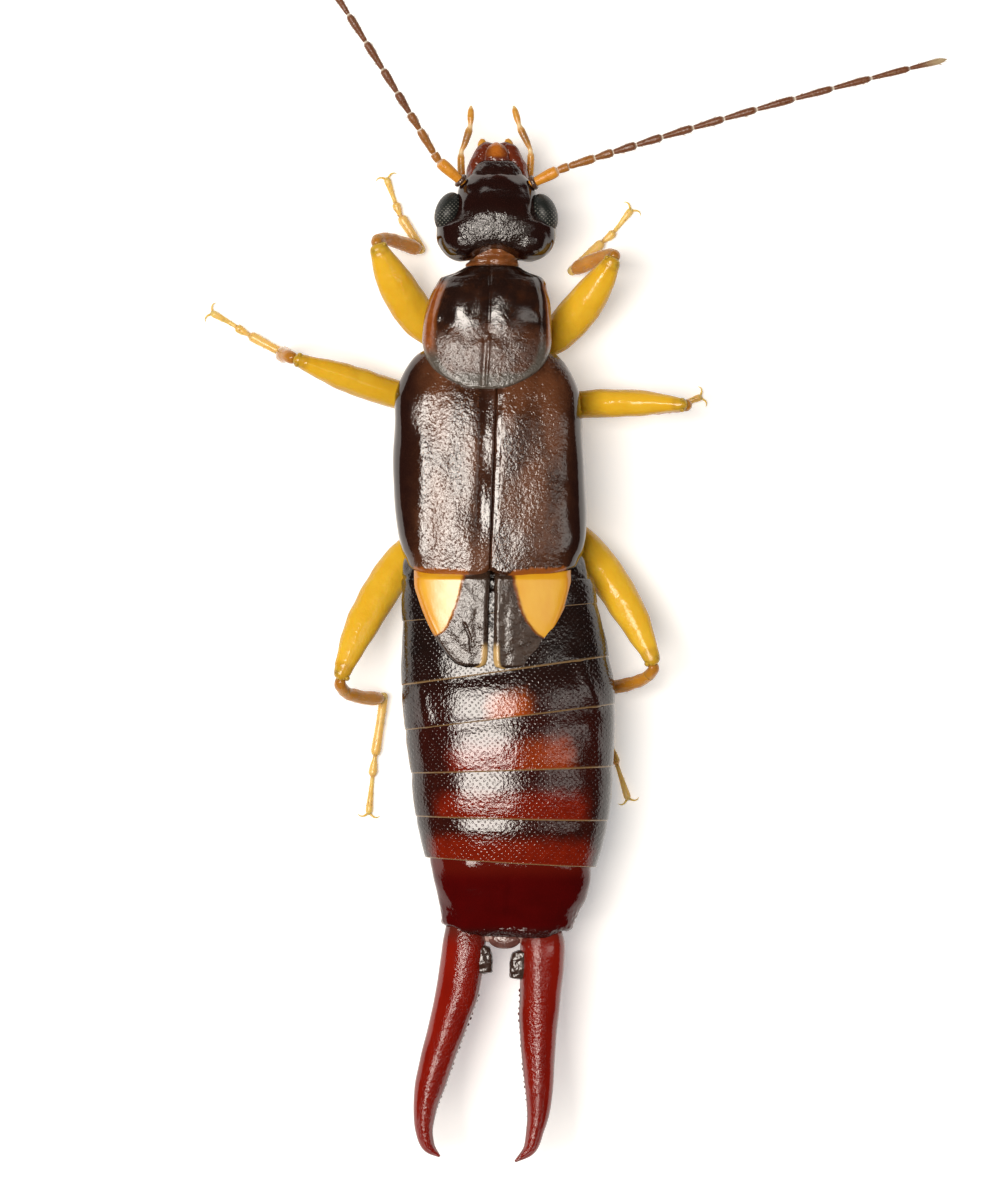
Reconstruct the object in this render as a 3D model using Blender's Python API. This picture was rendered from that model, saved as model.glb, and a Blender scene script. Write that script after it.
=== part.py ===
"""An earwig at life size, as a still museum model.

The head points along +Y and the floor is at z = 0.
Sizes are given in millimetres and MM turns them into metres.
The finished model stands on its six feet, centred over the origin.
"""

import math

import bmesh
import bpy
import numpy as np
from mathutils import Vector

MM = 0.001
GAP = 0.28
EYE_GAP = 0.2
MERGE = 0.002
BODY_SIDES = 24
LEFT = -1
RIGHT = 1

# Rows of the head: y, middle x, half width, waist z, height above, depth below
HEAD_ROWS = (
    (6.10, 0.06, 0.62, 1.50, 0.32, 0.34),
    (6.16, 0.06, 0.84, 1.50, 0.46, 0.44),
    (6.28, 0.07, 0.97, 1.50, 0.55, 0.51),
    (6.50, 0.07, 1.03, 1.50, 0.60, 0.55),
    (6.80, 0.07, 1.01, 1.50, 0.60, 0.56),
    (7.08, 0.07, 0.92, 1.48, 0.54, 0.52),
    (7.32, 0.08, 0.74, 1.44, 0.42, 0.46),
    (7.46, 0.09, 0.60, 1.40, 0.34, 0.40),
    (7.54, 0.09, 0.44, 1.38, 0.26, 0.34),
)
# Rows of the face in front of the antennae: clypeus, then upper lip
CLYPEUS_ROWS = (
    (7.30, 0.09, 0.46, 1.34, 0.30, 0.14),
    (7.60, 0.09, 0.44, 1.34, 0.25, 0.12),
    (7.76, 0.09, 0.41, 1.33, 0.19, 0.10),
)
LIP_ROWS = (
    (7.66, 0.09, 0.33, 1.29, 0.15, 0.12),
    (7.86, 0.09, 0.37, 1.26, 0.14, 0.11),
    (7.99, 0.09, 0.29, 1.23, 0.11, 0.09),
    (8.04, 0.09, 0.14, 1.22, 0.05, 0.05),
)
NAPE_NOTCH_AT = (0.05, 6.02, 1.95)
NAPE_NOTCH_SIZE = (0.40, 0.24, 0.60)

EYE_AT = {LEFT: (-0.83, 6.87, 1.60), RIGHT: (0.97, 6.84, 1.60)}
EYE_SIZE = (0.21, 0.34, 0.27)

# Rows of the neck and of the two parts of the prothorax
NECK_ROWS = (
    (5.60, -0.01, 0.46, 1.05, 0.18, 0.16),
    (5.72, 0.00, 0.50, 1.05, 0.21, 0.20),
    (5.86, 0.02, 0.46, 1.05, 0.18, 0.16),
)
SHIELD_ROWS = (
    (5.84, 0.00, 0.66, 1.72, 0.24, 0.15),
    (5.78, 0.00, 0.86, 1.71, 0.33, 0.17),
    (5.62, -0.02, 0.99, 1.69, 0.44, 0.19),
    (5.28, -0.05, 1.08, 1.67, 0.54, 0.20),
    (4.90, -0.08, 1.13, 1.66, 0.59, 0.20),
    (4.54, -0.09, 1.14, 1.66, 0.60, 0.20),
    (4.28, -0.09, 1.07, 1.67, 0.60, 0.19),
    (4.06, -0.09, 0.92, 1.70, 0.58, 0.17),
    (3.90, -0.09, 0.68, 1.74, 0.53, 0.15),
    (3.80, -0.09, 0.38, 1.79, 0.44, 0.14),
)
BREAST_ROWS = (
    (5.32, -0.06, 0.66, 1.36, 0.40, 0.28),
    (5.05, -0.07, 0.88, 1.36, 0.42, 0.36),
    (4.50, -0.08, 0.94, 1.36, 0.42, 0.38),
    (4.24, -0.08, 0.84, 1.34, 0.40, 0.32),
)
# Rows of the two thorax rings that lie under the wing cases
THORAX_ROWS = (
    (3.90, -0.08, 0.80, 1.14, 0.14, 0.12),
    (3.52, -0.08, 1.10, 1.18, 0.28, 0.22),
    (3.00, -0.07, 1.16, 1.20, 0.32, 0.26),
    (2.64, -0.06, 1.08, 1.20, 0.30, 0.22),
    (2.28, -0.05, 1.16, 1.20, 0.32, 0.26),
    (1.70, -0.02, 1.08, 1.20, 0.30, 0.22),
)

# Rows of the wing cases: y, middle x, half width, top z
TEGMEN_ROWS = (
    (4.43, -0.10, 1.12, 2.20),
    (4.25, -0.08, 1.38, 2.32),
    (4.02, -0.08, 1.52, 2.38),
    (3.61, -0.08, 1.64, 2.42),
    (2.76, -0.07, 1.68, 2.46),
    (1.91, -0.04, 1.69, 2.47),
    (1.20, 0.00, 1.67, 2.47),
    (0.85, 0.01, 1.60, 2.46),
    (0.66, 0.01, 1.50, 2.45),
    (0.57, 0.01, 1.36, 2.44),
)
TEGMEN_WAIST = 1.62
TEGMEN_EDGE_TURN = 95
TEGMEN_THICKNESS = 0.50
TEGMEN_COLUMNS = 9
SUTURE_FRONT = (0.09, 3.81)
SUTURE_REAR = (-0.035, 0.53)
TOP_POWER = 2.5

# Rows of the folded wings' tips: y, inner x, outer x, both measured outward
WING_TIP_ROWS = {
    LEFT: (
        (0.28, 0.12, 1.38),
        (0.00, 0.12, 1.28),
        (-0.40, 0.12, 1.12),
        (-0.80, 0.12, 0.94),
        (-1.05, 0.14, 0.78),
        (-1.20, 0.22, 0.58),
    ),
    RIGHT: (
        (0.30, 0.12, 1.38),
        (0.00, 0.12, 1.32),
        (-0.40, 0.12, 1.20),
        (-0.80, 0.12, 1.05),
        (-1.06, 0.15, 0.90),
        (-1.22, 0.26, 0.70),
    ),
}
WING_TIP_TOP = 2.52
WING_TIP_FALL = 0.26
WING_TIP_REACH = 1.40
WING_TIP_THICKNESS = 0.46
WING_TIP_RIM = 0.20
WING_TIP_COLUMNS = 7

# Rows of the abdomen: y, middle x, half width, waist z, above, below, turn
ABDOMEN_ROWS = (
    (0.26, 0.09, 1.70, 1.50, 0.88, 0.46, 4.0),
    (-0.42, 0.16, 1.75, 1.48, 0.92, 0.66, 6.0),
    (-1.28, 0.24, 1.85, 1.45, 0.97, 0.81, 8.0),
    (-1.91, 0.31, 1.87, 1.45, 0.98, 0.85, 7.5),
    (-2.55, 0.335, 1.83, 1.45, 0.98, 0.86, 4.5),
    (-3.19, 0.355, 1.78, 1.45, 0.96, 0.85, 1.0),
    (-3.83, 0.355, 1.72, 1.45, 0.92, 0.82, -1.2),
    (-4.25, 0.345, 1.62, 1.44, 0.88, 0.79, -2.4),
    (-4.66, 0.33, 1.52, 1.43, 0.82, 0.74, -3.4),
)
WAIST_ROWS = (
    (1.42, -0.01, 1.00, 1.16, 0.34, 0.18),
    (1.10, 0.00, 1.08, 1.16, 0.38, 0.20),
    (0.10, 0.08, 1.08, 1.18, 0.38, 0.20),
)
TERGITE_EDGES = (0.26, -0.22, -1.26, -2.08, -3.02, -3.88, -4.66)
TERGITE_STEP = 0.075
LAST_ROWS = (
    (-4.94, 0.335, 1.40, 1.42, 0.74, 0.68, -4.0),
    (-5.10, 0.335, 1.38, 1.42, 0.74, 0.68, -4.0),
    (-5.53, 0.31, 1.25, 1.40, 0.66, 0.60, -5.0),
    (-5.82, 0.26, 1.18, 1.38, 0.56, 0.52, -6.0),
    (-5.95, 0.25, 1.02, 1.37, 0.42, 0.40, -6.0),
)
PYGIDIUM_AT = (0.21, -5.98, 1.38)
PYGIDIUM_SIZE = (0.22, 0.20, 0.20)
GLAND_SPOTS = (
    (-1.24, -1.84, 1.98),
    (1.78, -1.60, 2.00),
    (-1.26, -2.74, 1.98),
    (1.80, -2.64, 2.00),
)
GLAND_SIZE = (0.17, 0.30, 0.16)

# Rows of the forceps: middle x, y, z, half width, half height
FORCEPS_ROWS = {
    LEFT: (
        (-0.46, -5.70, 1.36, 0.36, 0.30),
        (-0.50, -6.17, 1.36, 0.39, 0.35),
        (-0.60, -6.87, 1.34, 0.39, 0.33),
        (-0.75, -7.44, 1.32, 0.345, 0.30),
        (-0.93, -8.01, 1.31, 0.31, 0.27),
        (-1.09, -8.58, 1.31, 0.275, 0.25),
        (-1.19, -9.05, 1.32, 0.21, 0.21),
        (-1.21, -9.40, 1.33, 0.16, 0.17),
        (-1.13, -9.70, 1.34, 0.12, 0.13),
        (-0.95, -9.88, 1.35, 0.05, 0.06),
    ),
    RIGHT: (
        (0.86, -5.70, 1.36, 0.36, 0.30),
        (0.90, -6.17, 1.36, 0.40, 0.35),
        (0.87, -6.87, 1.34, 0.375, 0.33),
        (0.83, -7.44, 1.32, 0.35, 0.30),
        (0.83, -8.01, 1.31, 0.285, 0.27),
        (0.86, -8.58, 1.31, 0.275, 0.25),
        (0.86, -9.05, 1.32, 0.215, 0.21),
        (0.80, -9.40, 1.33, 0.17, 0.17),
        (0.67, -9.75, 1.34, 0.12, 0.13),
        (0.43, -9.96, 1.35, 0.05, 0.06),
    ),
}
FORCEPS_SIDES = 12
BASAL_LOBE_AT = {LEFT: (-0.20, -6.52, 1.34), RIGHT: (0.50, -6.60, 1.34)}
BASAL_LOBE_SIZE = (0.13, 0.20, 0.16)
DENTICLES = 8
DENTICLE_SPAN = (0.30, 0.78)
DENTICLE_REACH = 0.10
DENTICLE_RADIUS = 0.09

# Antennae: the two basal segments, then twelve club-shaped ones
SCAPE = {
    LEFT: ((-0.44, 7.28, 1.50), (-0.94, 7.78, 1.62)),
    RIGHT: ((0.58, 7.28, 1.50), (1.17, 7.62, 1.62)),
}
SCAPE_RADIUS = 0.24
FLAGELLUM_START = {LEFT: (-1.03, 7.92), RIGHT: (1.36, 7.69)}
FLAGELLUM_LENGTHS = (
    0.50, 0.34, 0.43, 0.48, 0.57, 0.57, 0.60, 0.70, 0.70, 0.70, 0.715, 0.68,
)
# Heading of each antenna in degrees from +Y, outward, at its start and end
FLAGELLUM_HEADING = {LEFT: (31.0, 34.5), RIGHT: (72.5, 76.0)}
FLAGELLUM_RISE = (0.16, -0.10)
CLUB_RADIUS = (0.24, 0.13)
CLUB_NECK = 0.66
CLUB_SIDES = 8

# Palps: points of the middle line from the cheek to the tip
PALP_POINTS = {
    LEFT: (
        (-0.50, 7.20, 0.84),
        (-0.70, 7.62, 0.86),
        (-0.69, 8.03, 0.92),
        (-0.46, 8.38, 0.92),
        (-0.40, 8.75, 0.84),
    ),
    RIGHT: (
        (0.64, 7.20, 0.84),
        (0.88, 7.60, 0.86),
        (0.86, 8.02, 0.92),
        (0.56, 8.38, 0.92),
        (0.40, 8.76, 0.84),
    ),
}
PALP_RADII = (0.17, 0.20, 0.19, 0.17, 0.10)

# Legs: hip, knee and ankle as points, then the foot's points on the floor
LEGS = {
    "leg_front_left": {
        "hip": ((-0.50, 4.62, 0.92), (-0.96, 4.66, 0.62)),
        "knee": (-2.02, 6.27, 1.52),
        "ankle": (-1.29, 6.27, 0.30),
        "foot": ((-1.27, 6.30), (-1.60, 6.82), (-1.70, 7.03), (-1.89, 7.56)),
        "femur_width": 0.70,
    },
    "leg_front_right": {
        "hip": ((0.34, 4.48, 0.92), (0.84, 4.46, 0.62)),
        "knee": (2.14, 6.03, 1.52),
        "ankle": (1.45, 5.88, 0.30),
        "foot": ((1.44, 5.90), (1.98, 6.41), (2.16, 6.57), (2.50, 7.00)),
        "femur_width": 0.68,
    },
    "leg_mid_left": {
        "hip": ((-0.50, 3.36, 0.92), (-1.06, 3.48, 0.56)),
        "knee": (-3.46, 4.27, 1.62),
        "ankle": (-3.68, 4.38, 0.30),
        "foot": ((-3.70, 4.39), (-4.41, 4.78), (-4.67, 4.95), (-5.03, 5.15)),
        "femur_width": 0.54,
    },
    "leg_mid_right": {
        "hip": ((0.38, 3.30, 0.92), (0.96, 3.42, 0.56)),
        "knee": (3.40, 3.46, 1.62),
        "ankle": (2.36, 3.24, 0.30),
        "foot": ((2.34, 3.22), (3.02, 3.40), (3.28, 3.48), (3.75, 3.64)),
        "femur_width": 0.54,
    },
    "leg_hind_left": {
        "hip": ((-0.54, 2.00, 0.92), (-1.14, 1.24, 0.50)),
        "knee": (-2.68, -1.36, 1.38),
        "ankle": (-1.95, -1.76, 0.30),
        "foot": ((-1.93, -1.80), (-2.11, -2.89), (-2.15, -3.23), (-2.21, -3.84)),
        "femur_width": 0.66,
    },
    "leg_hind_right": {
        "hip": ((0.48, 2.04, 0.92), (1.18, 1.42, 0.48)),
        "knee": (2.86, -1.10, 1.36),
        "ankle": (2.16, -1.56, 0.30),
        "foot": ((2.14, -1.60), (2.26, -2.62), (2.30, -2.96), (2.40, -3.58)),
        "femur_width": 0.66,
    },
}
FEMUR_THICKNESS = 0.48
TIBIA_WIDTH = 0.48
TARSUS_HEIGHT = 0.20
# Profile of a foot: share of its length, half width
TARSUS_PROFILE = (
    (0.00, 0.17),
    (0.06, 0.21),
    (0.46, 0.20),
    (0.54, 0.15),
    (0.60, 0.20),
    (0.69, 0.19),
    (0.74, 0.14),
    (0.82, 0.17),
    (0.95, 0.17),
    (1.00, 0.11),
)
CLAW_LENGTH = 0.30
CLAW_SPREAD = 48
CLAW_RADIUS = 0.08

COLOURS = {
    "dark_chitin": ((0.030, 0.012, 0.008), 0.30),
    "wing_case": ((0.055, 0.022, 0.014), 0.42),
    "wing_tip": ((0.520, 0.260, 0.040), 0.45),
    "abdomen": ((0.075, 0.018, 0.010), 0.36),
    "forceps": ((0.210, 0.016, 0.006), 0.22),
    "leg": ((0.560, 0.310, 0.060), 0.40),
    "antenna": ((0.270, 0.130, 0.060), 0.50),
    "palp": ((0.600, 0.280, 0.060), 0.40),
    "eye": ((0.030, 0.028, 0.028), 0.35),
    "neck": ((0.230, 0.090, 0.030), 0.50),
}


def blended(rows, at):
    """Values at one position, smoothly between rows that start with a position."""
    table = np.array(sorted(rows), float)
    places = table[:, 0]
    values = table[:, 1:]
    steps = np.diff(places)
    slopes = np.diff(values, axis=0) / steps[:, None]
    tangents = np.empty_like(values)
    tangents[0] = slopes[0]
    tangents[-1] = slopes[-1]
    before = slopes[:-1]
    after = slopes[1:]
    same_way = before * after > 0
    total = np.where(same_way, before + after, 1.0)
    tangents[1:-1] = np.where(same_way, 2 * before * after / total, 0.0)
    place = min(max(at, places[0]), places[-1])
    index = min(int(np.searchsorted(places, place, side="right")) - 1, len(steps) - 1)
    step = steps[index]
    share = (place - places[index]) / step
    start = (1 + 2 * share) * (1 - share) ** 2 * values[index]
    leave = share * (1 - share) ** 2 * step * tangents[index]
    end = share ** 2 * (3 - 2 * share) * values[index + 1]
    arrive = share ** 2 * (share - 1) * step * tangents[index + 1]
    return start + leave + end + arrive


def signed_power(value, power):
    return math.copysign(abs(value) ** power, value)


def body_ring(row, power=2.2, sides=BODY_SIDES, inset=0.0):
    """One closed section of the body, turned about the vertical by its last value."""
    y, middle, half_width, waist, above, below = row[:6]
    turn = math.tan(math.radians(row[6])) if len(row) > 6 else 0.0
    points = []
    for index in range(sides):
        angle = 2 * math.pi * (index + 0.5) / sides
        across = (half_width - inset) * signed_power(math.cos(angle), 2 / power)
        height = above - inset if math.sin(angle) > 0 else below - inset
        rise = height * signed_power(math.sin(angle), 2 / power)
        points.append(Vector((middle + across, y + across * turn, waist + rise)))
    return points


def mesh_object(name, points, faces):
    """A linked mesh object of triangles with its faces pointing out."""
    mesh = bpy.data.meshes.new(name)
    mesh.from_pydata([tuple(point * MM) for point in points], [], faces)
    surface = bmesh.new()
    surface.from_mesh(mesh)
    bmesh.ops.triangulate(surface, faces=surface.faces)
    bmesh.ops.recalc_face_normals(surface, faces=surface.faces)
    surface.to_mesh(mesh)
    surface.free()
    item = bpy.data.objects.new(name, mesh)
    bpy.context.scene.collection.objects.link(item)
    return item


def loft(name, rings, folded=False):
    """A closed skin through rings of equal counts, capped at both ends."""
    sides = len(rings[0])
    points = [point for ring in rings for point in ring]
    faces = []
    for row in range(len(rings) - 1):
        for index in range(sides):
            after = (index + 1) % sides
            low = row * sides
            faces.append((low + index, low + after, low + sides + after, low + sides + index))
    for row in (0, len(rings) - 1):
        low = row * sides
        if folded:
            for index in range(sides // 2 - 1):
                back = sides - 1 - index
                faces.append((low + index, low + index + 1, low + back - 1, low + back))
        else:
            middle = sum(rings[row], Vector((0, 0, 0))) / sides
            points.append(middle)
            tip = len(points) - 1
            for index in range(sides):
                faces.append((low + index, low + (index + 1) % sides, tip))
    return mesh_object(name, points, faces)


def body_loft(name, rows, parts=1, power=2.2, sides=BODY_SIDES):
    """A smooth body part through a few rows, with each stretch cut into parts."""
    marks = sorted(row[0] for row in rows)
    rings = []
    for start, end in zip(marks, marks[1:]):
        for part in range(parts):
            y = start + (end - start) * part / parts
            rings.append(body_ring((y, *blended(rows, y)), power, sides))
    rings.append(body_ring((marks[-1], *blended(rows, marks[-1])), power, sides))
    return loft(name, rings)


def ellipsoid(name, at, size, sides=12, rows=7):
    rings = []
    for row in range(rows):
        angle = math.pi * (row + 0.5) / rows
        rings.append(
            [
                Vector(
                    (
                        at[0] + size[0] * math.sin(angle) * math.cos(2 * math.pi * k / sides),
                        at[1] - size[1] * math.cos(angle),
                        at[2] + size[2] * math.sin(angle) * math.sin(2 * math.pi * k / sides),
                    )
                )
                for k in range(sides)
            ]
        )
    return loft(name, rings)


def sweep(name, stations, across, sides=8):
    """A tube through stations of middle, half width and half height."""
    rings = []
    middles = [Vector(station[0]) for station in stations]
    for index, (_, half_width, half_height) in enumerate(stations):
        before = middles[max(index - 1, 0)]
        after = middles[min(index + 1, len(middles) - 1)]
        along = (after - before).normalized()
        wide = (across - across.dot(along) * along).normalized()
        high = along.cross(wide)
        ring = []
        for side in range(sides):
            angle = 2 * math.pi * (side + 0.5) / sides
            ring.append(
                middles[index]
                + wide * half_width * math.cos(angle)
                + high * half_height * math.sin(angle)
            )
        rings.append(ring)
    return loft(name, rings)


def route(points, share):
    """A point at a share of a smooth line through the given points."""
    lengths = [0.0]
    for start, end in zip(points, points[1:]):
        lengths.append(lengths[-1] + (Vector(end) - Vector(start)).length)
    rows = [(length, *point) for length, point in zip(lengths, points)]
    return Vector(blended(rows, share * lengths[-1]))


def apply_modifiers(item):
    graph = bpy.context.evaluated_depsgraph_get()
    mesh = bpy.data.meshes.new_from_object(item.evaluated_get(graph))
    item.modifiers.clear()
    old = item.data
    item.data = mesh
    bpy.data.meshes.remove(old)


def remove_object(item):
    mesh = item.data
    bpy.data.objects.remove(item)
    bpy.data.meshes.remove(mesh)


def keep_largest(item):
    """Merge stray points and keep the largest closed surface."""
    surface = bmesh.new()
    surface.from_mesh(item.data)
    bmesh.ops.remove_doubles(surface, verts=surface.verts, dist=MERGE * MM)
    bmesh.ops.dissolve_degenerate(surface, edges=surface.edges, dist=MERGE * MM)
    bmesh.ops.triangulate(surface, faces=surface.faces)
    surface.faces.ensure_lookup_table()
    seen = set()
    shells = []
    for first in surface.faces:
        if first.index in seen:
            continue
        seen.add(first.index)
        shell = [first]
        for face in shell:
            for edge in face.edges:
                for other in edge.link_faces:
                    if other.index not in seen:
                        seen.add(other.index)
                        shell.append(other)
        shells.append(shell)
    shells.sort(key=len)
    loose = [face for shell in shells[:-1] for face in shell]
    bmesh.ops.delete(surface, geom=loose, context="FACES")
    bmesh.ops.recalc_face_normals(surface, faces=surface.faces)
    surface.to_mesh(item.data)
    surface.free()


def fuse(name, pieces):
    """Join closed pieces into one body with one Boolean union."""
    base = pieces[0]
    base.name = name
    group = bpy.data.collections.new(name + "_pieces")
    for piece in pieces[1:]:
        group.objects.link(piece)
    union = base.modifiers.new("union", "BOOLEAN")
    union.operation = "UNION"
    union.operand_type = "COLLECTION"
    union.collection = group
    union.solver = "EXACT"
    apply_modifiers(base)
    for piece in pieces[1:]:
        remove_object(piece)
    bpy.data.collections.remove(group)
    keep_largest(base)
    return base


def grown(item, distance):
    """A copy whose skin lies a given distance outside the item's."""
    surface = bmesh.new()
    surface.from_mesh(item.data)
    surface.normal_update()
    moves = []
    for point in surface.verts:
        reach = min(point.calc_shell_factor(), 1.5) * distance * MM
        moves.append((point, point.normal * reach))
    for point, move in moves:
        point.co += move
    mesh = bpy.data.meshes.new(item.name + "_grown")
    surface.to_mesh(mesh)
    surface.free()
    copy = bpy.data.objects.new(item.name + "_grown", mesh)
    bpy.context.scene.collection.objects.link(copy)
    return copy


def cut(item, cutter):
    """Take the cutter's shape out of the item."""
    boolean = item.modifiers.new("cut", "BOOLEAN")
    boolean.operation = "DIFFERENCE"
    boolean.object = cutter
    boolean.solver = "EXACT"
    boolean.use_self = True
    apply_modifiers(item)
    keep_largest(item)


def clear_of(item, neighbour, distance=GAP):
    cutter = grown(neighbour, distance)
    cut(item, cutter)
    remove_object(cutter)


def side_name(side):
    return "left" if side == LEFT else "right"


def make_head(skull):
    """Head capsule with clypeus, upper lip and the two jaws."""
    clypeus = body_loft("clypeus", CLYPEUS_ROWS, 1, 2.6, 12)
    lip = body_loft("lip", LIP_ROWS, 1, 2.4, 12)
    pieces = [skull, clypeus, lip]
    for side in (LEFT, RIGHT):
        stations = (
            ((0.09 + side * 0.30, 7.24, 1.16), 0.18, 0.15),
            ((0.09 + side * 0.29, 7.52, 1.12), 0.15, 0.14),
            ((0.09 + side * 0.27, 7.78, 1.08), 0.13, 0.12),
            ((0.09 + side * 0.18, 7.94, 1.06), 0.10, 0.09),
            ((0.09 + side * 0.07, 8.02, 1.05), 0.05, 0.05),
        )
        pieces.append(sweep("jaw", stations, Vector((1, 0, 0)), 8))
    head = fuse("head", pieces)
    notch = ellipsoid("notch", NAPE_NOTCH_AT, NAPE_NOTCH_SIZE, 12, 7)
    cut(head, notch)
    remove_object(notch)
    return head


def make_eye(side):
    return ellipsoid("eye_" + side_name(side), EYE_AT[side], EYE_SIZE, 12, 7)


def make_pronotum():
    """Shield over the front of the thorax, with the breast fused below it."""
    shield = body_loft("shield", SHIELD_ROWS, 1, 2.3)
    breast = body_loft("breast", BREAST_ROWS, 1, 2.6, 16)
    return fuse("pronotum", [shield, breast])


def make_shield_block():
    """An upright block whose outline runs a gap outside the shield's."""
    outline = [Vector((row[0], row[2])) for row in SHIELD_ROWS]
    rows = []
    for index, row in enumerate(SHIELD_ROWS):
        before = outline[max(index - 1, 0)]
        after = outline[min(index + 1, len(outline) - 1)]
        along = (after - before).normalized()
        moved = outline[index] + Vector((along.y, -along.x)) * GAP
        rows.append((moved.x, row[1], moved.y, 1.70, 1.20, 0.60))
    rings = [body_ring(row, 9.0, BODY_SIDES) for row in rows]
    return loft("shield_block", rings)


def arch_point(middle, half_width, top, side, turn, inset):
    """A point on a wing case's section, measured from its crest."""
    angle = math.radians(turn)
    across = (half_width - inset) * signed_power(math.sin(angle), 2 / TOP_POWER)
    rise = (top - TEGMEN_WAIST - inset) * signed_power(math.cos(angle), 2 / TOP_POWER)
    return Vector((middle + side * across, 0.0, TEGMEN_WAIST + rise))


def suture_x(y):
    share = (SUTURE_FRONT[1] - y) / (SUTURE_FRONT[1] - SUTURE_REAR[1])
    return SUTURE_FRONT[0] + share * (SUTURE_REAR[0] - SUTURE_FRONT[0])


def make_tegmen(side):
    """One wing case: a thick shell that turns down over the flank."""
    ys = (4.42, 4.28, 4.12, 3.92, 3.66, 3.30, 2.60, 1.90, 1.30, 0.95, 0.74, 0.60)
    rings = []
    for y in ys:
        middle, half_width, top = blended(TEGMEN_ROWS, y)
        inner_edge = side * (suture_x(y) - middle) + GAP / 2
        outer = []
        inner = []
        for inset, line in ((0.0, outer), (TEGMEN_THICKNESS, inner)):
            reach = inner_edge / (half_width - inset)
            start = math.degrees(math.asin(signed_power(reach, TOP_POWER / 2)))
            for column in range(TEGMEN_COLUMNS):
                turn = start + (TEGMEN_EDGE_TURN - start) * column / (TEGMEN_COLUMNS - 1)
                point = arch_point(middle, half_width, top, side, turn, inset)
                point.y = y
                line.append(point)
        rings.append(outer + inner[::-1])
    return loft("tegmen_" + side_name(side), rings, folded=True)


def make_wing_tip(side, margin=0.0):
    """The end of a folded hind wing, lying on the abdomen, grown by a margin."""
    rows = WING_TIP_ROWS[side]
    front = rows[0][0]
    rear = rows[-1][0]
    rings = []
    for index in range(9):
        share = index / 8
        inside = front + (rear - front) * (1 - (1 - share) ** 1.4)
        y = inside + margin * (1 - 2 * share)
        inner_x, outer_x = blended(rows, inside)
        inner_x -= margin
        outer_x += margin
        upper = []
        lower = []
        for column in range(WING_TIP_COLUMNS):
            part = column / (WING_TIP_COLUMNS - 1)
            x = suture_x(y) * 0.3 + side * (inner_x + (outer_x - inner_x) * part)
            fall = WING_TIP_FALL * abs(x / WING_TIP_REACH) ** 2.3
            top = WING_TIP_TOP - fall - 0.08 * share ** 3 + margin
            edge = abs(2 * part - 1) ** 3 * part
            thin = WING_TIP_THICKNESS + (WING_TIP_RIM - WING_TIP_THICKNESS) * edge
            thin = thin - 0.16 * share ** 4 + 2 * margin
            upper.append(Vector((x, y, top - 0.06 * edge)))
            lower.append(Vector((x, y, top - thin)))
        rings.append(upper + lower[::-1])
    return loft("wing_tip_" + side_name(side), rings, folded=True)


def make_abdomen():
    """Overlapping tergites, each stepping down behind its rear edge."""
    rings = []
    for start, end in zip(TERGITE_EDGES, TERGITE_EDGES[1:]):
        length = start - end
        for share, inset in ((0.0, TERGITE_STEP), (0.20, 0.012), (0.60, 0.0), (0.97, 0.0)):
            y = start - length * share - 0.012
            row = (y, *blended(ABDOMEN_ROWS, y))
            rings.append(body_ring(row, 2.3, BODY_SIDES, inset))
    belly = loft("belly", rings)
    waist = body_loft("waist", WAIST_ROWS, 1, 2.0, 20)
    pieces = [belly, waist]
    for spot in GLAND_SPOTS:
        pieces.append(ellipsoid("gland", spot, GLAND_SIZE, 8, 5))
    abdomen = fuse("abdomen", pieces)
    for side in (LEFT, RIGHT):
        pocket = make_wing_tip(side, GAP)
        cut(abdomen, pocket)
        remove_object(pocket)
    return abdomen


def make_drum():
    """The large last tergite, which carries the forceps."""
    rings = []
    ends = (LAST_ROWS[0][0], LAST_ROWS[-1][0])
    for share in (0.0, 0.10, 0.35, 0.60, 0.82, 0.94, 1.0):
        y = ends[0] + (ends[1] - ends[0]) * share
        rings.append(body_ring((y, *blended(LAST_ROWS, y)), 2.4, BODY_SIDES))
    return loft("drum", rings)


def make_forceps(side, neighbours):
    """One arm with its basal lobe and a row of fine teeth on the inner edge."""
    rows = FORCEPS_ROWS[side]
    middles = [row[:3] for row in rows]
    sizes = [(index / (len(rows) - 1), row[3], row[4]) for index, row in enumerate(rows)]
    stations = []
    count = 14
    for index in range(count):
        place = index / (count - 1)
        keys = [(key / (len(rows) - 1), *middle) for key, middle in enumerate(middles)]
        half_width, half_height = blended(sizes, place)
        stations.append((Vector(blended(keys, place)), half_width, half_height))
    arm = sweep("arm", stations, Vector((1, 0, 0)), FORCEPS_SIDES)
    pieces = [arm]
    pieces.append(ellipsoid("lobe", BASAL_LOBE_AT[side], BASAL_LOBE_SIZE, 8, 5))
    for tooth in range(DENTICLES):
        share = tooth / (DENTICLES - 1)
        place = DENTICLE_SPAN[0] + (DENTICLE_SPAN[1] - DENTICLE_SPAN[0]) * share
        middle = Vector(blended(keys, place))
        half_width = blended(sizes, place)[0]
        inward = Vector((-side, 0.15, 0)).normalized()
        root = middle + inward * (half_width - 0.10)
        tip = middle + inward * (half_width + DENTICLE_REACH * (1 - 0.4 * share))
        radius = DENTICLE_RADIUS * (1 - 0.35 * share)
        line = ((root, radius, radius), (tip, 0.02, 0.02))
        pieces.append(sweep("tooth", line, Vector((0, 0, 1)), 5))
    forceps = fuse("forceps_" + side_name(side), pieces)
    for neighbour in neighbours:
        clear_of(forceps, neighbour)
    return forceps


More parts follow.
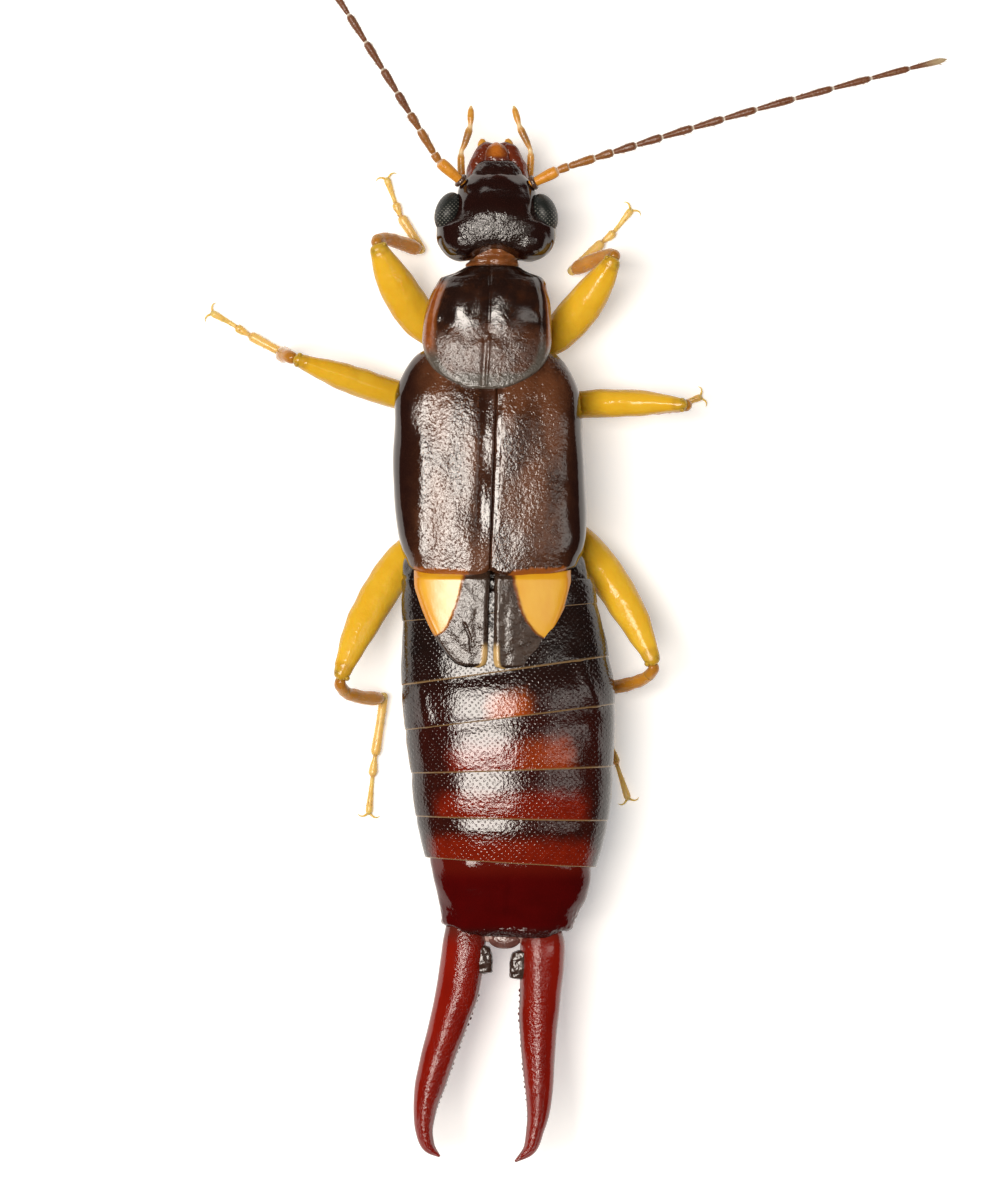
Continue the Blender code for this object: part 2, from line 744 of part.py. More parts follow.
def antenna_line(side):
    """Joints of the flagellum from its start to its tip."""
    start_heading, end_heading = FLAGELLUM_HEADING[side]
    whole = sum(FLAGELLUM_LENGTHS)
    point = Vector((*FLAGELLUM_START[side], SCAPE[side][1][2] + 0.02))
    joints = [point]
    done = 0.0
    for length in FLAGELLUM_LENGTHS:
        share = (done + length / 2) / whole
        heading = math.radians(start_heading + (end_heading - start_heading) * share)
        rise = FLAGELLUM_RISE[0] + (FLAGELLUM_RISE[1] - FLAGELLUM_RISE[0]) * share
        flat = math.sqrt(1 - rise ** 2) * length
        step = Vector((side * math.sin(heading) * flat, math.cos(heading) * flat, rise * length))
        point = point + step
        joints.append(point)
        done += length
    return joints


def make_antenna(side, skull):
    """Scape, pedicel and twelve club-shaped segments in one solid."""
    base, apex = (Vector(point) for point in SCAPE[side])
    joints = antenna_line(side)
    stations = [
        (base, SCAPE_RADIUS * 0.80),
        (base.lerp(apex, 0.35), SCAPE_RADIUS * 0.90),
        (base.lerp(apex, 0.75), SCAPE_RADIUS),
        (base.lerp(apex, 0.97), SCAPE_RADIUS * 0.72),
        (apex.lerp(joints[0], 0.55), SCAPE_RADIUS * 0.88),
        (joints[0], SCAPE_RADIUS * 0.66),
    ]
    segments = len(FLAGELLUM_LENGTHS)
    for index in range(segments):
        share = index / (segments - 1)
        radius = CLUB_RADIUS[0] + (CLUB_RADIUS[1] - CLUB_RADIUS[0]) * share
        start = joints[index]
        end = joints[index + 1]
        stations.append((start.lerp(end, 0.30), radius * 0.86))
        stations.append((start.lerp(end, 0.78), radius))
        if index < segments - 1:
            stations.append((end, radius * CLUB_NECK))
        else:
            stations.append((end, radius * 0.35))
    line = [(point, radius, radius) for point, radius in stations]
    antenna = sweep("antenna_" + side_name(side), line, Vector((0, 0, 1)), CLUB_SIDES)
    clear_of(antenna, skull)
    return antenna


def make_palp(side, skull):
    """A feeler beside the mouth, rooted under the cheek."""
    points = PALP_POINTS[side]
    rows = [(index / (len(points) - 1), radius) for index, radius in enumerate(PALP_RADII)]
    stations = []
    for share in (0.0, 0.12, 0.24, 0.34, 0.42, 0.50, 0.60, 0.70, 0.78, 0.90, 1.0):
        radius = blended(rows, share)[0]
        if share in (0.34, 0.70):
            radius *= 0.78
        stations.append((route(points, share), radius, radius))
    palp = sweep("palp_" + side_name(side), stations, Vector((0, 0, 1)), 8)
    clear_of(palp, skull)
    return palp


def make_leg(name, data, bodies):
    """Coxa, femur, tibia, three-part foot and two claws in one solid."""
    root, hip = (Vector(point) for point in data["hip"])
    knee = Vector(data["knee"])
    ankle = Vector(data["ankle"])
    width = data["femur_width"] / 2
    thick = FEMUR_THICKNESS / 2
    thigh_way = knee - hip
    level = Vector((-thigh_way.y, thigh_way.x, 0)).normalized()
    thigh = (
        (root, 0.22, 0.22),
        (root.lerp(hip, 0.55), 0.25, 0.23),
        (hip, 0.24, 0.21),
        (hip.lerp(knee, 0.14), width * 0.82, thick * 0.96),
        (hip.lerp(knee, 0.40), width, thick),
        (hip.lerp(knee, 0.66), width * 0.94, thick),
        (hip.lerp(knee, 0.88), width * 0.76, thick * 0.94),
        (knee, width * 0.60, thick * 0.80),
        (knee + thigh_way.normalized() * 0.10, width * 0.34, thick * 0.45),
    )
    shin_way = ankle - knee
    flat = thigh_way.cross(shin_way).normalized()
    half = TIBIA_WIDTH / 2
    shin = (
        (knee - shin_way * 0.04, half * 0.66, half * 0.66),
        (knee + shin_way * 0.14, half * 0.92, half * 0.92),
        (knee + shin_way * 0.50, half, half),
        (knee + shin_way * 0.84, half * 0.90, half * 0.90),
        (ankle, half * 0.66, half * 0.66),
    )
    pieces = [sweep("thigh", thigh, level, 10)]
    pieces.append(sweep("shin", shin, flat, 8))
    foot_points = [(*point, TARSUS_HEIGHT - 0.02) for point in data["foot"]]
    first, second = (Vector(point) for point in (foot_points[0], foot_points[-1]))
    foot_way = (second - first).normalized()
    beside = Vector((-foot_way.y, foot_way.x, 0))
    stations = []
    for share, radius in TARSUS_PROFILE:
        middle = route(foot_points, share)
        middle.z = radius * 0.86
        stations.append((middle, radius, radius))
    foot = sweep("foot", stations, beside, 8)
    for vertex in foot.data.vertices:
        vertex.co.z = max(vertex.co.z, 0.0)
    pieces.append(foot)
    for turn in (-CLAW_SPREAD, CLAW_SPREAD):
        angle = math.radians(turn)
        way = foot_way * math.cos(angle) + beside * math.sin(angle)
        start = second - foot_way * 0.06
        start.z = 0.14
        bend = start + way * CLAW_LENGTH * 0.6
        tip = bend + (way * 0.75 + foot_way * 0.5) * CLAW_LENGTH * 0.4
        bend.z = 0.15
        tip.z = 0.07
        claw = (
            (start, CLAW_RADIUS, CLAW_RADIUS),
            (bend, CLAW_RADIUS * 0.8, CLAW_RADIUS * 0.8),
            (tip, 0.03, 0.03),
        )
        pieces.append(sweep("claw", claw, Vector((0, 0, 1)), 5))
    leg = fuse(name, pieces)
    for body in bodies:
        clear_of(leg, body)
    return leg


def make_material(name):
    colour, roughness = COLOURS[name]
    material = bpy.data.materials.new(name)
    material.use_nodes = True
    shader = material.node_tree.nodes["Principled BSDF"]
    shader.inputs["Base Color"].default_value = (*colour, 1.0)
    shader.inputs["Roughness"].default_value = roughness
    shader.inputs["Metallic"].default_value = 0.0
    return material


def dress(items, material):
    for item in items:
        item.data.materials.clear()
        item.data.materials.append(material)
        item.data.shade_smooth()
        item.data.set_sharp_from_angle(angle=math.radians(40))


def centre_on_floor(items):
    """Move every node so that the model stands centred over the origin."""
    corners = [vertex.co for item in items for vertex in item.data.vertices]
    low_x = min(corner.x for corner in corners)
    high_x = max(corner.x for corner in corners)
    low_y = min(corner.y for corner in corners)
    high_y = max(corner.y for corner in corners)
    shift = Vector((-(low_x + high_x) / 2, -(low_y + high_y) / 2, 0.0))
    for item in items:
        item.location = shift


def main():
    for item in list(bpy.data.objects):
        bpy.data.objects.remove(item)
    skull = body_loft("skull", HEAD_ROWS, 1, 2.3, 20)
    antennae = [make_antenna(side, skull) for side in (LEFT, RIGHT)]
    palps = [make_palp(side, skull) for side in (LEFT, RIGHT)]
    head = make_head(skull)
    eyes = [make_eye(side) for side in (LEFT, RIGHT)]
    for eye in eyes:
        clear_of(head, eye, EYE_GAP)
    neck = body_loft("neck", NECK_ROWS, 1, 2.3, 14)
    pronotum = make_pronotum()
    thorax = body_loft("thorax", THORAX_ROWS, 1, 2.5, 20)
    tegmina = [make_tegmen(side) for side in (LEFT, RIGHT)]
    shield_block = make_shield_block()
    for tegmen in tegmina:
        cut(tegmen, shield_block)
    remove_object(shield_block)
    wing_tips = [make_wing_tip(side) for side in (LEFT, RIGHT)]
    abdomen = make_abdomen()
    drum = make_drum()
    pygidium = ellipsoid("pygidium", PYGIDIUM_AT, PYGIDIUM_SIZE, 8, 5)
    forceps = [make_forceps(side, (drum, pygidium)) for side in (LEFT, RIGHT)]
    last_segment = fuse("last_segment", [drum, pygidium])
    legs = []
    for name, data in LEGS.items():
        bodies = [pronotum] if "front" in name else [thorax]
        legs.append(make_leg(name, data, bodies))
    groups = (
        ([head, pronotum, thorax], "dark_chitin"),
        (tegmina, "wing_case"),
        (wing_tips, "wing_tip"),
        ([abdomen, last_segment], "abdomen"),
        (forceps, "forceps"),
        (legs, "leg"),
        (antennae, "antenna"),
        (palps, "palp"),
        (eyes, "eye"),
        ([neck], "neck"),
    )
    nodes = []
    for items, material in groups:
        dress(items, make_material(material))
        nodes.extend(items)
    centre_on_floor(nodes)


main()
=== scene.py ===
"""The looks of the earwig: fine skins, materials, light and camera.

Places are in millimetres, in the frame of the part's source, with the head toward +Y.
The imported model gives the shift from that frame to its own, read from the eyes.
"""

import math

import bmesh
import bpy
import numpy as np
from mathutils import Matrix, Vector


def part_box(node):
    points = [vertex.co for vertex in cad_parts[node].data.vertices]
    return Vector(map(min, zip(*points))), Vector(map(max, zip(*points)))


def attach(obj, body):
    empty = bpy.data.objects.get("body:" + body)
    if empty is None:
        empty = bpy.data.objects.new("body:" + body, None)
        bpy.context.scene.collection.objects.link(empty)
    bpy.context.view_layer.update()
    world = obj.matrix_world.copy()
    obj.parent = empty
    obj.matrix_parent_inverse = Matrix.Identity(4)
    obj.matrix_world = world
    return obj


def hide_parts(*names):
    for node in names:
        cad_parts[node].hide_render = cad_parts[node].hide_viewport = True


MM = 0.001
LEFT = -1
RIGHT = 1
SEED = 7

# Camera: the photo's middle and height in this frame, seen from straight above
VIEW_MIDDLE = (0.133, 0.0)
VIEW_HEIGHT = 21.26
VIEW_LEVEL = 1.8
VIEW_DISTANCE = 150.0
SENSOR = 24.0
SKY_STRENGTH = 0.03

# Rows of the head: y, middle x, half width, waist z, height above, depth below
HEAD_ROWS = (
    (5.975, 0.07, 0.44, 1.50, 0.05, 0.05),
    (6.00, 0.07, 0.66, 1.50, 0.20, 0.19),
    (6.06, 0.075, 0.81, 1.50, 0.33, 0.31),
    (6.14, 0.08, 0.915, 1.50, 0.48, 0.40),
    (6.24, 0.08, 0.995, 1.50, 0.558, 0.46),
    (6.36, 0.08, 1.045, 1.50, 0.588, 0.50),
    (6.48, 0.08, 1.065, 1.50, 0.604, 0.53),
    (6.60, 0.08, 1.065, 1.50, 0.612, 0.54),
    (6.68, 0.08, 1.000, 1.50, 0.616, 0.54),
    (6.77, 0.08, 0.850, 1.50, 0.616, 0.54),
    (6.90, 0.08, 0.750, 1.50, 0.602, 0.54),
    (7.05, 0.08, 0.710, 1.49, 0.550, 0.53),
    (7.20, 0.08, 0.700, 1.47, 0.460, 0.50),
    (7.34, 0.08, 0.665, 1.44, 0.370, 0.45),
    (7.46, 0.09, 0.570, 1.41, 0.295, 0.38),
    (7.56, 0.09, 0.470, 1.38, 0.235, 0.30),
    (7.64, 0.09, 0.33, 1.36, 0.14, 0.18),
    (7.67, 0.09, 0.15, 1.35, 0.06, 0.08),
)
HEAD_NOTCH = (0.06, 0.36, 0.21)
CLYPEUS_ROWS = (
    (7.24, 0.09, 0.44, 1.34, 0.370, 0.12),
    (7.44, 0.09, 0.47, 1.34, 0.330, 0.12),
    (7.60, 0.09, 0.44, 1.34, 0.265, 0.12),
    (7.74, 0.09, 0.35, 1.33, 0.190, 0.11),
    (7.84, 0.09, 0.24, 1.32, 0.11, 0.09),
)
LABRUM_ROWS = (
    (7.60, 0.08, 0.22, 1.33, 0.13, 0.06),
    (7.78, 0.08, 0.24, 1.33, 0.12, 0.06),
    (7.96, 0.08, 0.21, 1.31, 0.10, 0.06),
    (8.07, 0.08, 0.15, 1.28, 0.08, 0.05),
    (8.13, 0.08, 0.08, 1.26, 0.05, 0.04),
)
EYE_AT = {LEFT: (-0.83, 6.87, 1.60), RIGHT: (0.97, 6.84, 1.60)}
EYE_LOOKS = {LEFT: (-0.775, 6.885, 1.57), RIGHT: (0.925, 6.860, 1.57)}
EYE_SIZE = (0.232, 0.362, 0.330)
EYE_TURN = 19

NECK_ROWS = (
    (5.52, -0.02, 0.62, 1.36, 0.34, 0.34),
    (5.74, -0.01, 0.54, 1.38, 0.33, 0.34),
    (5.92, 0.01, 0.47, 1.42, 0.31, 0.34),
    (6.10, 0.04, 0.44, 1.46, 0.31, 0.34),
    (6.34, 0.06, 0.44, 1.48, 0.30, 0.30),
)
SHIELD_ROWS = (
    (3.725, -0.09, 0.10, 2.40, 0.00),
    (3.75, -0.09, 0.34, 2.38, 0.03),
    (3.83, -0.09, 0.56, 2.35, 0.06),
    (3.95, -0.09, 0.78, 2.29, 0.11),
    (4.10, -0.09, 0.96, 2.20, 0.19),
    (4.32, -0.09, 1.09, 2.08, 0.31),
    (4.60, -0.09, 1.145, 1.99, 0.40),
    (4.95, -0.08, 1.130, 1.93, 0.43),
    (5.28, -0.05, 1.080, 1.88, 0.45),
    (5.50, -0.03, 1.01, 1.86, 0.430),
    (5.64, -0.01, 0.95, 1.825, 0.375),
    (5.71, -0.01, 0.90, 1.80, 0.345),
    (5.755, 0.00, 0.80, 1.79, 0.320),
    (5.79, 0.00, 0.69, 1.78, 0.303),
    (5.85, 0.00, 0.57, 1.77, 0.265),
    (5.90, 0.01, 0.48, 1.76, 0.232),
    (5.93, 0.01, 0.36, 1.76, 0.205),
    (5.945, 0.01, 0.14, 1.76, 0.190),
)
BREAST_ROWS = (
    (5.62, -0.03, 0.52, 1.30, 0.46, 0.30),
    (5.36, -0.05, 0.78, 1.34, 0.50, 0.40),
    (5.05, -0.07, 0.92, 1.36, 0.52, 0.44),
    (4.50, -0.08, 0.98, 1.36, 0.54, 0.44),
    (4.10, -0.08, 0.92, 1.34, 0.56, 0.40),
    (3.90, -0.08, 0.80, 1.32, 0.60, 0.36),
)
THORAX_ROWS = (
    (4.20, -0.08, 0.80, 1.30, 0.60, 0.30),
    (3.90, -0.08, 1.02, 1.30, 0.62, 0.38),
    (3.52, -0.08, 1.24, 1.32, 0.62, 0.42),
    (3.00, -0.07, 1.32, 1.34, 0.62, 0.46),
    (2.62, -0.06, 1.26, 1.34, 0.62, 0.41),
    (2.28, -0.05, 1.34, 1.34, 0.62, 0.46),
    (1.80, -0.02, 1.36, 1.34, 0.62, 0.44),
    (1.40, 0.00, 1.36, 1.34, 0.62, 0.40),
)
WAIST_ROWS = (
    (1.70, -0.01, 1.20, 1.34, 0.60, 0.40),
    (1.10, 0.00, 1.40, 1.38, 0.62, 0.44),
    (0.65, 0.04, 1.62, 1.44, 0.66, 0.46),
    (0.35, 0.07, 1.67, 1.47, 0.74, 0.50),
    (0.00, 0.11, 1.68, 1.46, 0.74, 0.52),
    (-0.20, 0.13, 1.64, 1.46, 0.72, 0.56),
)

# Rows of the wing cases: y, middle x, half width, top z
TEGMEN_ROWS = (
    (4.44, -0.10, 1.06, 2.04),
    (4.34, -0.09, 1.24, 2.11),
    (4.18, -0.08, 1.39, 2.19),
    (4.02, -0.08, 1.49, 2.26),
    (3.80, -0.08, 1.58, 2.34),
    (3.61, -0.08, 1.635, 2.39),
    (3.20, -0.07, 1.665, 2.44),
    (2.76, -0.07, 1.68, 2.46),
    (1.91, -0.04, 1.69, 2.47),
    (1.20, 0.00, 1.66, 2.47),
    (0.85, 0.01, 1.61, 2.46),
    (0.66, 0.01, 1.54, 2.45),
    (0.40, 0.01, 1.45, 2.44),
)
TEGMEN_WAIST = 1.62
TEGMEN_EDGE_TURN = 99
TEGMEN_THICKNESS = 0.11
TEGMEN_FRONT = 4.44
TEGMEN_REAR = 0.46
SUTURE_FRONT = (0.09, 3.81)
SUTURE_REAR = (-0.035, 0.53)
# Curvature of a wing case across its top, and at its edge
TEGMEN_ACROSS = 2.0
TEGMEN_EDGE = 4.6

# Rows of the wing tips: y, inner x, outer x, both measured outward from the suture
WING_TIP_ROWS = {
    LEFT: (
        (0.90, 0.05, 1.36),
        (0.55, 0.05, 1.37),
        (0.28, 0.06, 1.36),
        (0.00, 0.07, 1.28),
        (-0.40, 0.08, 1.12),
        (-0.80, 0.085, 0.90),
        (-1.03, 0.09, 0.72),
        (-1.14, 0.12, 0.58),
        (-1.19, 0.22, 0.44),
    ),
    RIGHT: (
        (0.90, 0.09, 1.40),
        (0.55, 0.09, 1.41),
        (0.28, 0.09, 1.41),
        (0.00, 0.09, 1.36),
        (-0.40, 0.09, 1.22),
        (-0.80, 0.085, 1.02),
        (-1.05, 0.09, 0.82),
        (-1.17, 0.12, 0.66),
        (-1.22, 0.24, 0.50),
    ),
}
WING_TIP_TOP = 2.50
# Inner border of the yellow patches: y, distance outward from the suture
PATCH_ROWS = {
    LEFT: (
        (-1.20, 1.60), (-0.72, 1.30), (-0.66, 1.04), (-0.60, 0.90), (-0.52, 0.805), (-0.41, 0.745),
        (-0.09, 0.62), (0.16, 0.555), (0.50, 0.48), (0.90, 0.42),
    ),
    RIGHT: (
        (-1.20, 1.70), (-0.78, 1.34), (-0.71, 1.04), (-0.63, 0.87), (-0.50, 0.735), (-0.30, 0.60),
        (-0.05, 0.507), (0.32, 0.413), (0.50, 0.39), (0.90, 0.36),
    ),
}

# Rows of the abdomen: y, middle x, half width, waist z, above, below, turn
ABDOMEN_ROWS = (
    (0.26, 0.09, 1.70, 1.50, 0.80, 0.50, 4.0),
    (-0.42, 0.16, 1.75, 1.48, 0.84, 0.68, 6.0),
    (-1.28, 0.24, 1.85, 1.45, 0.93, 0.81, 8.0),
    (-1.91, 0.31, 1.87, 1.45, 0.98, 0.85, 7.5),
    (-2.55, 0.335, 1.83, 1.45, 0.98, 0.86, 4.5),
    (-3.19, 0.355, 1.78, 1.45, 0.96, 0.85, 1.0),
    (-3.83, 0.355, 1.72, 1.45, 0.92, 0.82, -1.2),
    (-4.25, 0.345, 1.62, 1.44, 0.88, 0.79, -2.4),
    (-4.66, 0.33, 1.52, 1.43, 0.82, 0.74, -3.4),
)
TERGITE_EDGES = (0.26, -0.22, -1.26, -2.08, -3.02, -3.88, -4.66)
TERGITE_STEP = 0.016
# Share of red, and half width of the red patch, for each tergite from the front
TERGITE_RED = ((0.0, 0.3), (0.1, 0.3), (0.90, 0.20), (0.90, 0.60), (0.95, 0.76), (1.0, 0.90))
LAST_ROWS = (
    (-4.50, 0.335, 1.40, 1.42, 0.76, 0.66, -4.0),
    (-4.70, 0.335, 1.43, 1.42, 0.75, 0.68, -4.0),
    (-4.94, 0.340, 1.405, 1.42, 0.70, 0.68, -4.0),
    (-5.20, 0.340, 1.34, 1.42, 0.63, 0.67, -4.0),
    (-5.50, 0.320, 1.25, 1.40, 0.56, 0.60, -4.0),
    (-5.76, 0.285, 1.185, 1.38, 0.49, 0.53, -4.0),
    (-5.90, 0.26, 1.15, 1.37, 0.43, 0.47, -3.0),
    (-5.96, 0.25, 1.07, 1.37, 0.35, 0.38, -3.0),
    (-5.98, 0.25, 0.80, 1.37, 0.24, 0.25, -3.0),
)

# Rows of the forceps: middle x, y, z, half width, half height
FORCEPS_ROWS = {
    LEFT: (
        (-0.48, -5.80, 1.36, 0.34, 0.28),
        (-0.50, -6.17, 1.36, 0.385, 0.33),
        (-0.60, -6.87, 1.34, 0.385, 0.32),
        (-0.75, -7.44, 1.32, 0.345, 0.295),
        (-0.93, -8.01, 1.31, 0.31, 0.27),
        (-1.09, -8.58, 1.31, 0.275, 0.245),
        (-1.19, -9.05, 1.32, 0.21, 0.205),
        (-1.21, -9.40, 1.33, 0.16, 0.165),
        (-1.13, -9.70, 1.34, 0.12, 0.12),
        (-0.93, -9.89, 1.35, 0.02, 0.02),
    ),
    RIGHT: (
        (0.87, -5.80, 1.36, 0.34, 0.28),
        (0.90, -6.17, 1.36, 0.40, 0.33),
        (0.87, -6.87, 1.34, 0.375, 0.32),
        (0.83, -7.44, 1.32, 0.35, 0.295),
        (0.825, -8.01, 1.31, 0.305, 0.265),
        (0.830, -8.58, 1.31, 0.265, 0.240),
        (0.825, -9.05, 1.32, 0.208, 0.200),
        (0.77, -9.40, 1.33, 0.165, 0.165),
        (0.67, -9.75, 1.34, 0.12, 0.12),
        (0.41, -9.98, 1.35, 0.02, 0.02),
    ),
}
LOBE_AT = {LEFT: (-0.150, -6.38, 1.38), RIGHT: (0.470, -6.48, 1.38)}
LOBE_SIZE = (0.165, 0.260, 0.15)
DENTICLES = 24
DENTICLE_SPAN = (0.27, 0.84)

# Antennae: the two basal segments, then twelve club-shaped ones
SCAPE = {
    LEFT: ((-0.44, 7.34, 1.50), (-0.94, 7.78, 1.62)),
    RIGHT: ((0.60, 7.34, 1.50), (1.17, 7.62, 1.62)),
}
FLAGELLUM_START = {LEFT: (-1.03, 7.92), RIGHT: (1.36, 7.69)}
FLAGELLUM_LENGTHS = (
    0.50, 0.34, 0.43, 0.48, 0.57, 0.57, 0.60, 0.70, 0.70, 0.70, 0.715, 0.68,
)
FLAGELLUM_HEADING = {LEFT: (31.0, 34.5), RIGHT: (72.5, 76.0)}
FLAGELLUM_RISE = (0.16, -0.10)
CLUB_RADIUS = (0.078, 0.058)
# Profile of one club: share of its length, share of its radius
CLUB_PROFILE = (
    (0.00, 0.50), (0.05, 0.64), (0.30, 0.78), (0.70, 1.00), (0.88, 0.96), (0.97, 0.66), (1.0, 0.50),
)

PALP_POINTS = {
    LEFT: (
        (-0.40, 7.10, 1.02),
        (-0.53, 7.50, 0.94),
        (-0.55, 7.95, 0.93),
        (-0.49, 8.12, 0.94),
        (-0.41, 8.37, 0.92),
        (-0.385, 8.49, 0.91),
        (-0.375, 8.81, 0.86),
    ),
    RIGHT: (
        (0.56, 7.10, 1.02),
        (0.66, 7.50, 0.94),
        (0.69, 7.95, 0.93),
        (0.64, 8.12, 0.94),
        (0.52, 8.37, 0.92),
        (0.475, 8.49, 0.91),
        (0.385, 8.81, 0.86),
    ),
}
# Profile of a palp: share of its length, radius
PALP_PROFILE = (
    (0.00, 0.055), (0.25, 0.068), (0.46, 0.064), (0.50, 0.046), (0.53, 0.042), (0.62, 0.058),
    (0.74, 0.068), (0.78, 0.048), (0.80, 0.042), (0.88, 0.060), (0.94, 0.056), (1.00, 0.020),
)

# Legs: hip, knee and ankle as points, then the foot's points on the floor
LEGS = {
    "leg_front_left": {
        "hip": ((-0.50, 4.62, 0.92), (-0.96, 4.66, 0.66)),
        "knee": (-2.02, 6.27, 1.52),
        "ankle": (-1.32, 6.27, 0.26),
        "foot": ((-1.29, 6.32), (-1.60, 6.82), (-1.70, 7.03), (-1.89, 7.56)),
        "femur_width": 0.70,
        "bow": 0.10,
    },
    "leg_front_right": {
        "hip": ((0.34, 4.48, 0.92), (0.84, 4.46, 0.66)),
        "knee": (2.14, 6.03, 1.52),
        "ankle": (1.47, 5.90, 0.26),
        "foot": ((1.46, 5.93), (1.98, 6.41), (2.16, 6.57), (2.50, 7.00)),
        "femur_width": 0.68,
        "bow": -0.10,
    },
    "leg_mid_left": {
        "hip": ((-0.50, 3.36, 0.92), (-1.06, 3.48, 0.62)),
        "knee": (-3.46, 4.27, 1.62),
        "ankle": (-3.68, 4.38, 0.26),
        "foot": ((-3.71, 4.40), (-4.41, 4.78), (-4.67, 4.95), (-5.03, 5.15)),
        "femur_width": 0.53,
        "bow": 0.03,
    },
    "leg_mid_right": {
        "hip": ((0.38, 3.30, 0.92), (0.96, 3.42, 0.62)),
        "knee": (3.40, 3.46, 1.62),
        "ankle": (2.36, 3.42, 0.26),
        "foot": ((2.36, 3.41), (3.05, 3.44), (3.30, 3.48), (3.75, 3.64)),
        "femur_width": 0.51,
        "bow": 0.06,
    },
    "leg_hind_left": {
        "hip": ((-0.54, 2.00, 0.92), (-1.14, 1.24, 0.60)),
        "knee": (-2.68, -1.36, 1.38),
        "ankle": (-1.98, -1.76, 0.26),
        "foot": ((-1.95, -1.82), (-2.11, -2.89), (-2.15, -3.23), (-2.21, -3.84)),
        "femur_width": 0.66,
        "bow": -0.16,
    },
    "leg_hind_right": {
        "hip": ((0.48, 2.04, 0.92), (1.18, 1.42, 0.58)),
        "knee": (2.86, -1.10, 1.36),
        "ankle": (1.84, -1.60, 0.26),
        "foot": ((1.84, -1.66), (2.13, -2.62), (2.24, -2.96), (2.44, -3.58)),
        "femur_width": 0.66,
        "bow": 0.16,
    },
}
FEMUR_HEIGHT = 0.52
# Profile of a femur: share of its length, share of its width
FEMUR_PROFILE = (
    (0.00, 0.30), (0.03, 0.50), (0.10, 0.74), (0.25, 0.95), (0.42, 1.00), (0.62, 0.95),
    (0.80, 0.73), (0.91, 0.53), (0.955, 0.46), (0.985, 0.36), (1.00, 0.12),
)
TIBIA_PROFILE = (
    (0.00, 0.060), (0.03, 0.095), (0.10, 0.112), (0.30, 0.122), (0.60, 0.136), (0.85, 0.140),
    (0.95, 0.120), (1.00, 0.055),
)
TARSUS_PROFILE = (
    (0.00, 0.060), (0.03, 0.080), (0.25, 0.076), (0.48, 0.088), (0.515, 0.070), (0.53, 0.038),
    (0.55, 0.040), (0.62, 0.070), (0.665, 0.076), (0.69, 0.052), (0.70, 0.036), (0.76, 0.038),
    (0.90, 0.056), (0.97, 0.064), (1.00, 0.036),
)
CLAW_LENGTH = 0.20
CLAW_SPREAD = 78


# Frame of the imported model
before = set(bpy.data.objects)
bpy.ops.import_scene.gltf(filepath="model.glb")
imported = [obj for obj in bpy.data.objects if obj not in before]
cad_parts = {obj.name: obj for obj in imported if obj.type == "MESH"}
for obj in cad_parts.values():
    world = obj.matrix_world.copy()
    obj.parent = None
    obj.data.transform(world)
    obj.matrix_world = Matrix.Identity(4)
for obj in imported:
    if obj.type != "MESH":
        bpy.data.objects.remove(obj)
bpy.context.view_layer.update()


def find_shift():
    """The move from this file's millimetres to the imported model's."""
    moves = []
    for side, node in ((LEFT, "eye_left"), (RIGHT, "eye_right")):
        low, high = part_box(node)
        middle = (np.array(low) + np.array(high)) / 2 / MM
        moves.append(middle - np.array(EYE_AT[side]))
    shift = sum(moves) / 2
    shift[2] = 0.0
    return shift


SHIFT = find_shift()


# Numbers
def smooth(rows, at):
    """Values at many places, smoothly between rows that start with a place."""
    table = np.array(sorted(rows), float)
    places = table[:, 0]
    values = table[:, 1:]
    steps = np.diff(places)
    slopes = np.diff(values, axis=0) / steps[:, None]
    tangents = np.empty_like(values)
    tangents[0] = slopes[0]
    tangents[-1] = slopes[-1]
    before = slopes[:-1]
    after = slopes[1:]
    same_way = before * after > 0
    total = np.where(same_way, before + after, 1.0)
    tangents[1:-1] = np.where(same_way, 2 * before * after / total, 0.0)
    at = np.clip(np.atleast_1d(np.asarray(at, float)), places[0], places[-1])
    index = np.clip(np.searchsorted(places, at, side="right") - 1, 0, len(steps) - 1)
    step = steps[index]
    share = ((at - places[index]) / step)[:, None]
    step = step[:, None]
    start = (1 + 2 * share) * (1 - share) ** 2 * values[index]
    leave = share * (1 - share) ** 2 * step * tangents[index]
    end = share ** 2 * (3 - 2 * share) * values[index + 1]
    arrive = share ** 2 * (share - 1) * step * tangents[index + 1]
    return start + leave + end + arrive


def step_up(low, high, value):
    share = np.clip((value - low) / (high - low), 0.0, 1.0)
    return share * share * (3 - 2 * share)


def signed_power(value, power):
    return np.sign(value) * np.abs(value) ** power


def hill(distance, width):
    return np.exp(-((distance / width) ** 2))


def near_line(x, y, points):
    """Distance in plan from many places to a line through a few points."""
    best = np.full(np.shape(x), 1e9)
    for (ax, ay), (bx, by) in zip(points, points[1:]):
        dx = bx - ax
        dy = by - ay
        share = np.clip(((x - ax) * dx + (y - ay) * dy) / (dx * dx + dy * dy), 0.0, 1.0)
        best = np.minimum(best, np.hypot(x - ax - share * dx, y - ay - share * dy))
    return best


def waves(points, length, seed):
    """Smooth seeded waves between about -1 and 1, about one length apart."""
    draw = np.random.default_rng(seed)
    total = np.zeros(points.shape[:-1])
    for _ in range(18):
        way = draw.normal(size=3)
        way *= draw.uniform(0.7, 1.5) / np.linalg.norm(way)
        total += np.sin(points @ way * 2 * math.pi / length + draw.uniform(0, 6.3))
    return total / 4.2


def eased(count):
    """Shares from 0 to 1, closer together at both ends."""
    return (1 - np.cos(np.linspace(0, math.pi, count))) / 2


